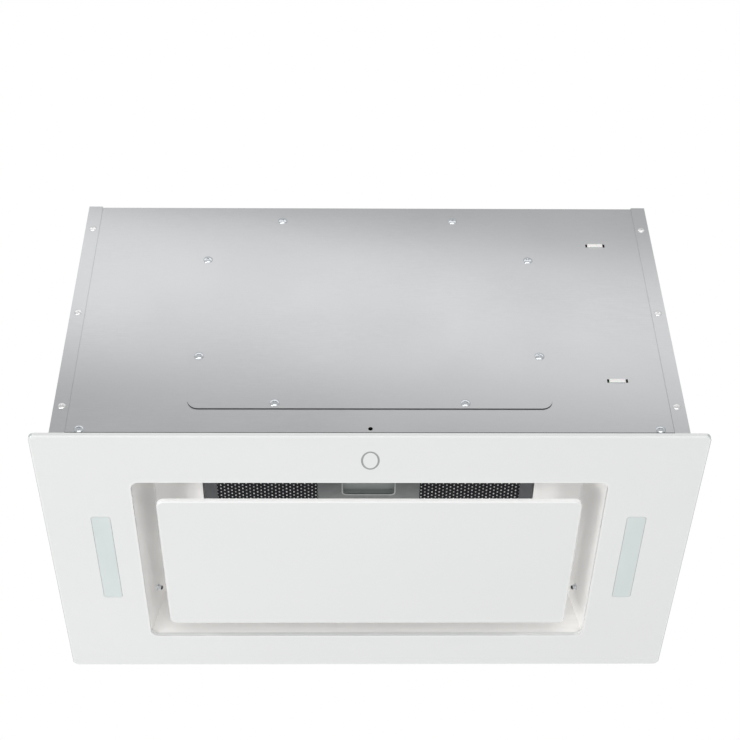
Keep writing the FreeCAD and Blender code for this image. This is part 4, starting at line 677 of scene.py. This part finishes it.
def solids_of(node):
    """Lowest and highest corner of each separate solid in a CAD node."""
    piece = copy_of_node(node)
    edit(piece)
    bpy.ops.mesh.separate(type="LOOSE")
    done()
    boxes = []
    for part in list(bpy.context.selected_objects):
        points = [v.co.copy() for v in part.data.vertices]
        low = Vector(min(p[i] for p in points) for i in range(3))
        high = Vector(max(p[i] for p in points) for i in range(3))
        boxes.append((low, high))
        bpy.data.objects.remove(part)
    return sorted(boxes, key=lambda b: tuple(round(x, 5) for x in b[0]))


def copies_at(master, placements, name):
    """One piece made of copies of a master, each with its own mesh."""
    copies = []
    for placement in placements:
        copy = master.copy()
        copy.data = master.data.copy()
        copy.matrix_world = placement @ master.matrix_world
        bpy.context.scene.collection.objects.link(copy)
        copies.append(copy)
    bpy.data.objects.remove(master)
    activate(copies[0])
    for copy in copies[1:]:
        copy.select_set(True)
    for copy in copies:
        copy.data.transform(copy.matrix_world)
        copy.matrix_world = Matrix.Identity(4)
    bpy.ops.object.join()
    return settle(copies[0], name)


def facing(direction, place, spin=0.0):
    """Placement that turns +Z onto a direction and moves it to a place."""
    turn = Vector(direction).to_track_quat("Z", "Y").to_matrix().to_4x4()
    return Matrix.Translation(place) @ turn @ Matrix.Rotation(spin, 4, "Z")


def head_place(low, high):
    """Seat and outward direction of a fastener from its solid's box."""
    middle = (low + high) / 2
    size = high - low
    if size.z > size.x + 1e-4:
        return Vector((middle.x, middle.y, high.z)), Vector((0, 0, 1))
    if middle.y < 0:
        return Vector((middle.x, low.y, middle.z)), Vector((0, -1, 0))
    return Vector((middle.x, high.y, middle.z)), Vector((0, 1, 0))


# ------------------------------------------------------------------ operators
class HOOD_OT_finishes(bpy.types.Operator):
    """Give every CAD node its finish"""

    bl_idname = "hood.finishes"
    bl_label = "Finishes"

    def execute(self, context):
        finishes = make_finishes(context.scene.hood_finish)
        for finish, nodes in NODE_FINISHES.items():
            for node in nodes:
                mesh = NODES[node].data
                mesh.materials.clear()
                mesh.materials.append(finishes[finish])
        for name, material in finishes.items():
            material["hood_finish"] = name
        return {"FINISHED"}


def finish_named(name):
    return next(m for m in bpy.data.materials if m.get("hood_finish") == name)


class HOOD_OT_filter_screen(bpy.types.Operator):
    """Perforated screen of the filter: six-sided holes in staggered columns"""

    bl_idname = "hood.filter_screen"
    bl_label = "Filter screen"

    def execute(self, context):
        settings = context.scene.hood_screen
        low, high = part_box("filter_face")
        handle_low, handle_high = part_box("handle_plate")
        margin = context.scene.hood_recess.tail
        column, row = settings.column_pitch, settings.row_pitch
        pairs = int((high.x - low.x) / (2 * column))
        rows = int((high.y - low.y) / row)
        screen = self.cell(
            settings,
            (low.x + high.x - (2 * pairs - 1) * column) / 2,
            (low.y + high.y - (rows - 0.5) * row) / 2,
            high.z,
        )
        for count, step in ((pairs, (2 * column, 0, 0)), (rows, (0, row, 0))):
            apply_modifier(
                screen, "ARRAY", count=count, use_relative_offset=False,
                use_constant_offset=True, constant_offset_displace=step,
                use_merge_vertices=True, merge_threshold=CELL_MERGE,
            )
        edit(screen)
        pick(screen, "FACE", lambda c, n: (
            handle_low.x < c.x < handle_high.x
            and handle_low.y < c.y < handle_high.y + margin
        ))
        bpy.ops.mesh.delete(type="FACE")
        done()
        apply_modifier(screen, "SOLIDIFY", thickness=settings.thickness, offset=-1.0)
        settle(screen, "filter_screen", 30.0)
        dress(screen, finish_named("screen"), "hood", "dark_filter", "filter_face")
        return {"FINISHED"}

    def cell(self, settings, start_x, start_y, z):
        """Two six-sided cells, the second one column and half a row further on."""
        across = settings.column_pitch / 1.5
        tall = settings.row_pitch / (across * math.sqrt(3))
        pair = []
        for i in range(2):
            x = start_x + i * settings.column_pitch
            y = start_y + i * settings.row_pitch / 2
            deselect_all()
            bpy.ops.mesh.primitive_circle_add(
                vertices=6, radius=across, fill_type="NGON", location=(x, y, z)
            )
            hexagon = bpy.context.active_object
            edit(hexagon)
            bpy.ops.transform.rotate(
                value=math.radians(30), orient_axis="Z", center_override=(x, y, z)
            )
            bpy.ops.transform.resize(value=(1, tall, 1), center_override=(x, y, z))
            bpy.ops.mesh.inset(thickness=settings.web)
            bpy.ops.mesh.delete(type="FACE")
            done()
            pair.append(hexagon)
        activate(pair[0])
        pair[1].select_set(True)
        bpy.ops.object.join()
        return settle(pair[0], "filter_screen_cell")


class HOOD_OT_fold_beads(bpy.types.Operator):
    """Pale beads where the recess walls meet its ceiling: the rounded fold, painted white as a
    highlight
    """

    bl_idname = "hood.fold_beads"
    bl_label = "Fold beads"

    def execute(self, context):
        settings = context.scene.hood_recess
        radius = settings.bead_radius
        low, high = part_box("recess_side_walls")
        deselect_all()
        bpy.ops.mesh.primitive_cylinder_add(
            vertices=BEAD_SIDES, radius=radius, depth=high.y - low.y - 2 * settings.fold_inset,
            location=(settings.fold_half, (low.y + high.y) / 2, settings.fold_height),
            rotation=(math.radians(90), 0, 0),
        )
        bead = bpy.context.active_object
        edit(bead)
        pick(bead, "EDGE", lambda m, d: abs(d.z) < 1e-6)
        bpy.ops.mesh.bevel(offset=radius * BEAD_END, segments=EDGE_SEGMENTS)
        done()
        settle(bead, "recess_fold_beads")
        apply_modifier(bead, "MIRROR", use_axis=(True, False, False))
        dress(bead, finish_named("fold_highlight"), "hood", "pale_steel")
        return {"FINISHED"}


class HOOD_OT_plate_painted_shadow(bpy.types.Operator):
    """Thin dark strip behind the access plate, painted shadow of the gap, showing most along its
    lower edge
    """

    bl_idname = "hood.plate_seal"
    bl_label = "Plate seal"

    def execute(self, context):
        settings = context.scene.hood_recess
        low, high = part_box("access_plate")
        size = high - low
        painted_shadow = copy_of_node("access_plate")
        edit(painted_shadow)
        bpy.ops.mesh.select_all(action="SELECT")
        bpy.ops.transform.resize(
            value=(
                1 + 2 * settings.shadow_side / size.x,
                settings.shadow_thickness / size.y,
                1 + settings.shadow_drop / size.z,
            ),
            center_override=((low.x + high.x) / 2, high.y, high.z),
        )
        bpy.ops.mesh.dissolve_limited(angle_limit=math.radians(1))
        done()
        settle(painted_shadow, "access_plate_seal")
        dress(painted_shadow, finish_named("painted_shadow"), "hood", "sensor_foam")
        return {"FINISHED"}


class HOOD_OT_foot_painted_shadow(bpy.types.Operator):
    """Dark strip along the foot of the front wall, painted shadow where the wall meets the glass"""

    bl_idname = "hood.foot_seal"
    bl_label = "Foot seal"

    def execute(self, context):
        settings = context.scene.hood_recess
        low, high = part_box("housing_front")
        deselect_all()
        bpy.ops.mesh.primitive_cube_add(size=1, location=(0, settings.wall_face, 0))
        strip = bpy.context.active_object
        strip.scale = (high.x - low.x, settings.foot_thickness * 2, settings.foot_height)
        strip.location.z = settings.foot_height / 2 + FOOT_GAP
        settle(strip, "foot_seal")
        apply_modifier(
            strip, "BEVEL", width=settings.foot_thickness * FOOT_ROUND, segments=EDGE_SEGMENTS,
            limit_method="ANGLE",
        )
        dress(strip, finish_named("painted_shadow"), "hood", "sensor_foam")
        return {"FINISHED"}


class HOOD_OT_handle_lip(bpy.types.Operator):
    """Raised lip round the finger pocket of the filter handle, its paler grey a painted highlight
    """

    bl_idname = "hood.handle_lip"
    bl_label = "Handle lip"

    def execute(self, context):
        settings = context.scene.hood_recess
        low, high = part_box("handle_plate")
        half = Vector((settings.pocket_width / 2, settings.pocket_depth / 2, 0))
        middle = Vector((
            (low.x + high.x) / 2, settings.pocket_middle, low.z - settings.lip_height * LIP_SINK
        ))
        deselect_all()
        bpy.ops.mesh.primitive_plane_add(size=2, location=middle)
        lip = bpy.context.active_object
        edit(lip)
        bpy.ops.transform.resize(value=(half.x, half.y, 1), center_override=tuple(middle))
        bpy.ops.mesh.select_all(action="SELECT")
        bpy.ops.mesh.bevel(
            offset=settings.pocket_corner, segments=LIP_SEGMENTS, affect="VERTICES"
        )
        bpy.ops.mesh.select_all(action="SELECT")
        bpy.ops.mesh.inset(thickness=settings.lip_width, use_outset=False)
        bpy.ops.mesh.delete(type="FACE")
        done()
        apply_modifier(lip, "SOLIDIFY", thickness=settings.lip_height, offset=1.0)
        apply_modifier(
            lip, "BEVEL", width=settings.lip_height * LIP_ROUND, segments=EDGE_SEGMENTS,
            limit_method="ANGLE",
        )
        settle(lip, "handle_pocket_lip")
        dress(lip, finish_named("lip_plastic"), "hood", "grey_plastic")
        return {"FINISHED"}


class HOOD_OT_nut_bore_shade(bpy.types.Operator):
    """Black domes in the ends of the two threaded bushes of the recess: painted shade in their
    bores
    """

    bl_idname = "hood.nut_plugs"
    bl_label = "Nut plugs"

    def execute(self, context):
        settings = context.scene.hood_recess
        low, high = solids_of("tray_rivet_nuts")[-1]
        bore_shade = dome(settings.bore_shade_radius, settings.bore_shade_height, BORE_SHADE_CROWN, BORE_SHADE_SIDES)
        rise, lean = math.sin(settings.wall_lean), math.cos(settings.wall_lean)
        place = Vector((
            low.x + settings.bush_radius * rise,
            (low.y + high.y) / 2,
            low.z + settings.bush_radius * lean,
        ))
        bore_shade.matrix_world = facing((-lean, 0, -rise), place)
        settle(bore_shade, "recess_nut_plugs")
        apply_modifier(bore_shade, "MIRROR", use_axis=(True, False, False))
        # Black as painted shade in the bore
        dress(bore_shade, finish_named("black_plastic"), "hood", "black_plastic")
        return {"FINISHED"}


class HOOD_OT_touch_mark(bpy.types.Operator):
    """Printed ring on the underside of the glass, over the touch sensor"""

    bl_idname = "hood.touch_mark"
    bl_label = "Touch mark"

    def execute(self, context):
        settings = context.scene.hood_mark
        pad_low, pad_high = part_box("touch_sensor_pad")
        glass_low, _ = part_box("glass_frame")
        middle = (pad_low + pad_high) / 2
        place = (middle.x, middle.y, glass_low.z - settings.ink)
        deselect_all()
        bpy.ops.mesh.primitive_circle_add(
            vertices=RING_SIDES, radius=settings.width / 2, fill_type="NGON", location=place
        )
        ring = bpy.context.active_object
        edit(ring)
        stretch = settings.depth / settings.width
        bpy.ops.transform.resize(value=(1, stretch, 1), center_override=place)
        bpy.ops.mesh.inset(thickness=settings.stroke)
        bpy.ops.mesh.delete(type="FACE")
        done()
        apply_modifier(ring, "SOLIDIFY", thickness=settings.ink, offset=1.0)
        settle(ring, "touch_ring")
        dress(ring, finish_named("ink"), "hood", "sensor_foam")
        return {"FINISHED"}


def dome(radius, height, crown, vertices):
    """Low dome with a flat crown, its seat at the origin and its top towards +Z."""
    deselect_all()
    bpy.ops.mesh.primitive_cylinder_add(vertices=vertices, radius=radius, depth=radius)
    piece = bpy.context.active_object
    edit(piece)
    pick(piece, "EDGE", lambda m, d: m.z > radius * 0.49)
    bpy.ops.mesh.bevel(
        offset=radius * (1 - crown), segments=DOME_SEGMENTS, profile=0.5
    )
    bpy.ops.mesh.select_all(action="SELECT")
    bpy.ops.transform.resize(value=(1, 1, height / radius), center_override=(0, 0, 0))
    bpy.ops.transform.translate(value=(0, 0, height / 2))
    done()
    return piece


def pan_head(name, radius, height, settings):
    """Pan head with a cross recess, its seat at the origin and its top towards +Z."""
    head = dome(radius, height, SCREW_CROWN, SCREW_SIDES)
    blades = []
    for turn in (0, 90):
        bpy.ops.mesh.primitive_cube_add(size=1, location=(0, 0, height))
        blade = bpy.context.active_object
        blade.scale = (radius * CROSS_REACH, settings.cross_width, settings.cross_depth * 2)
        blade.rotation_euler = (0, 0, math.radians(turn))
        edit(blade)
        pick(blade, "FACE", lambda c, n: n.z < -0.5)
        bpy.ops.transform.resize(value=CROSS_TAPER, center_override=tuple(blade.location))
        done()
        blades.append(blade)
    for blade in blades:
        settle(blade, "cross_blade")
        apply_modifier(head, "BOOLEAN", operation="DIFFERENCE", object=blade, solver="EXACT")
        bpy.data.objects.remove(blade)
    head.name = name
    return head


class HOOD_OT_screws(bpy.types.Operator):
    """Cross-recess pan heads on the access plate, the base and the collar"""

    bl_idname = "hood.screws"
    bl_label = "Screws"

    def execute(self, context):
        settings = context.scene.hood_fasteners
        for node in ("access_plate_screws", "base_screws", "collar_screws"):
            boxes = solids_of(node)
            low, high = boxes[0]
            radius = (high.x - low.x) / 2 * settings.head_share
            height = radius * settings.pan_share
            head = pan_head(node + "_head", radius, height, settings)
            placements = []
            for i, (low, high) in enumerate(boxes):
                top, direction = head_place(low, high)
                seat = top - direction * height
                placements.append(facing(direction, seat, spin=SCREW_TURN * i))
            piece = copies_at(head, placements, node + "_heads")
            dress(piece, finish_named("zinc"), "hood", "zinc_fastener", node)
        return {"FINISHED"}


class HOOD_OT_rivets(bpy.types.Operator):
    """Domed rivets with the open end of the mandrel hole"""

    bl_idname = "hood.rivets"
    bl_label = "Rivets"

    def execute(self, context):
        settings = context.scene.hood_fasteners
        boxes = solids_of("housing_rivets")
        low, high = boxes[0]
        radius = (high.z - low.z) / 2 * settings.rivet_size
        height = radius * settings.rivet_share
        head = dome(radius, height, settings.mandrel_radius / radius, RIVET_SIDES)
        edit(head)
        pick(head, "FACE", lambda c, n: c.z > height * 0.99 and n.z > 0.9)
        bpy.ops.mesh.inset(thickness=settings.mandrel_radius * HOLE_RIM)
        bpy.ops.mesh.extrude_region_move(
            TRANSFORM_OT_translate={"value": (0, 0, -height * HOLE_DEPTH)}
        )
        done()
        placements = [facing(d, p - d * height) for p, d in (head_place(*b) for b in boxes)]
        piece = copies_at(head, placements, "housing_rivet_heads")
        dress(piece, finish_named("rivet"), "hood", "zinc_fastener", "housing_rivets")
        return {"FINISHED"}


class HOOD_OT_moulded_parts(bpy.types.Operator):
    """Soft edges on the handle plate, the latch and the cable ties"""

    bl_idname = "hood.moulded_parts"
    bl_label = "Moulded parts"

    PARTS = (
        ("handle_plate", "handle_plastic", "hood", "grey_plastic", 1.0),
        ("filter_latch", "black_plastic", "filter_latch_slide", "black_plastic", 0.8),
        ("cable_ties", "nylon", "hood", "nylon", 0.7),
    )

    def execute(self, context):
        edge = context.scene.hood_fasteners.moulded_edge
        for node, finish, body, slot, size in self.PARTS:
            piece = copy_of_node(node)
            edit(piece)
            bpy.ops.mesh.select_all(action="SELECT")
            bpy.ops.mesh.dissolve_limited(angle_limit=math.radians(2))
            if node == "handle_plate":
                _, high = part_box(node)
                pick(piece, "VERT", lambda c, n: c.y > high.y - TAIL_REACH)
                bpy.ops.transform.translate(value=(0, context.scene.hood_recess.tail, 0))
            done()
            apply_modifier(
                piece, "BEVEL", width=edge * size, segments=EDGE_SEGMENTS, limit_method="ANGLE",
                angle_limit=math.radians(40), use_clamp_overlap=True,
            )
            settle(piece, node + "_moulded")
            dress(piece, finish_named(finish), body, slot, node)
        return {"FINISHED"}


class HOOD_OT_stage(bpy.types.Operator):
    """Pale floor, even room light, five soft lights and the camera"""

    bl_idname = "hood.stage"
    bl_label = "Stage"

    def execute(self, context):
        settings = context.scene.hood_stage
        context.scene.view_settings.view_transform = "Standard"
        self.floor(settings)
        self.room(context, settings)
        for name, place, target, size, setting in SOFT_LIGHTS:
            self.soft_light(name, place, target, size, getattr(settings, setting))
        self.soft_light(
            "floor_light", (0.0, FLOOR_LIGHT_Y, FLOOR_LIGHT_RISE - settings.floor_drop),
            (0.0, FLOOR_LIGHT_Y, 0.0), FLOOR_LIGHT_SIZE, settings.floor_power,
        )
        self.camera(context, settings)
        return {"FINISHED"}

    def floor(self, settings):
        deselect_all()
        bpy.ops.mesh.primitive_plane_add(size=FLOOR_SIZE, location=(0, 0, -settings.floor_drop))
        floor = bpy.context.active_object
        floor.name = "studio_floor"
        floor.data.materials.append(clouded(
            "studio_floor", (0.82, 0.82, 0.815), (0.86, 0.86, 0.855), 1.2, roughness=0.6,
        ).material)

    def room(self, context, settings):
        """White as seen by the camera, softer as a light."""
        world = bpy.data.worlds.new("room")
        world.use_nodes = True
        tree = world.node_tree
        tree.nodes.clear()
        path = tree.nodes.new("ShaderNodeLightPath")
        mix = tree.nodes.new("ShaderNodeMixShader")
        output = tree.nodes.new("ShaderNodeOutputWorld")
        tree.links.new(path.outputs["Is Camera Ray"], mix.inputs["Fac"])
        for socket, strength in ((1, settings.room_light), (2, 1.0)):
            sky = tree.nodes.new("ShaderNodeBackground")
            sky.inputs["Color"].default_value = (1.0, 1.0, 1.0, 1.0)
            sky.inputs["Strength"].default_value = strength
            tree.links.new(sky.outputs["Background"], mix.inputs[socket])
        tree.links.new(mix.outputs["Shader"], output.inputs["Surface"])
        context.scene.world = world

    def soft_light(self, name, place, target, size, power):
        data = bpy.data.lights.new(name, "AREA")
        data.shape = "RECTANGLE"
        data.size, data.size_y = size
        data.energy = power
        light = bpy.data.objects.new(name, data)
        light.visible_camera = False
        turn = (Vector(target) - Vector(place)).to_track_quat("-Z", "Y")
        light.matrix_world = Matrix.Translation(place) @ turn.to_matrix().to_4x4()
        bpy.context.scene.collection.objects.link(light)

    def camera(self, context, settings):
        data = bpy.data.cameras.new("photo_camera")
        data.sensor_width = SENSOR_WIDTH
        data.lens = settings.lens
        data.clip_end = VIEW_REACH
        camera = bpy.data.objects.new("photo_camera", data)
        turn = (
            Matrix.Rotation(CAMERA_YAW, 4, "Z")
            @ Matrix.Rotation(CAMERA_PITCH, 4, "X")
            @ Matrix.Rotation(CAMERA_ROLL, 4, "Y")
            @ Matrix.Rotation(math.radians(90.0), 4, "X")
        )
        camera.matrix_world = Matrix.Translation(CAMERA_PLACE) @ turn
        bpy.context.scene.collection.objects.link(camera)
        context.scene.camera = camera


OPERATORS = (
    HOOD_OT_finishes,
    HOOD_OT_filter_screen,
    HOOD_OT_fold_beads,
    HOOD_OT_plate_painted_shadow,
    HOOD_OT_foot_painted_shadow,
    HOOD_OT_handle_lip,
    HOOD_OT_nut_bore_shade,
    HOOD_OT_touch_mark,
    HOOD_OT_screws,
    HOOD_OT_rivets,
    HOOD_OT_moulded_parts,
    HOOD_OT_stage,
)


class HOOD_PT_tools(bpy.types.Panel):
    """Lists the hood's pieces and their settings"""

    bl_idname = "HOOD_PT_tools"
    bl_label = "Range Hood"
    bl_space_type = "VIEW_3D"
    bl_region_type = "UI"
    bl_category = "Range Hood"

    def draw(self, context):
        column = self.layout.column()
        for operator in OPERATORS:
            column.operator(operator.bl_idname)
        for name in SETTINGS:
            group = getattr(context.scene, name)
            box = self.layout.box()
            box.label(text=group.__class__.__doc__)
            for prop in group.__annotations__:
                box.prop(group, prop)


def register():
    for name, group in SETTINGS.items():
        bpy.utils.register_class(group)
        setattr(bpy.types.Scene, name, bpy.props.PointerProperty(type=group))
    for operator in OPERATORS:
        bpy.utils.register_class(operator)
    bpy.utils.register_class(HOOD_PT_tools)


def unregister():
    bpy.utils.unregister_class(HOOD_PT_tools)
    for operator in reversed(OPERATORS):
        bpy.utils.unregister_class(operator)
    for name, group in SETTINGS.items():
        delattr(bpy.types.Scene, name)
        bpy.utils.unregister_class(group)


def main():
    register()
    bpy.ops.hood.finishes()
    bpy.ops.hood.filter_screen()
    bpy.ops.hood.fold_beads()
    bpy.ops.hood.plate_seal()
    bpy.ops.hood.foot_seal()
    bpy.ops.hood.handle_lip()
    bpy.ops.hood.nut_plugs()
    bpy.ops.hood.touch_mark()
    bpy.ops.hood.screws()
    bpy.ops.hood.rivets()
    bpy.ops.hood.moulded_parts()
    bpy.ops.hood.stage()


if __name__ == "__main__":
    main()
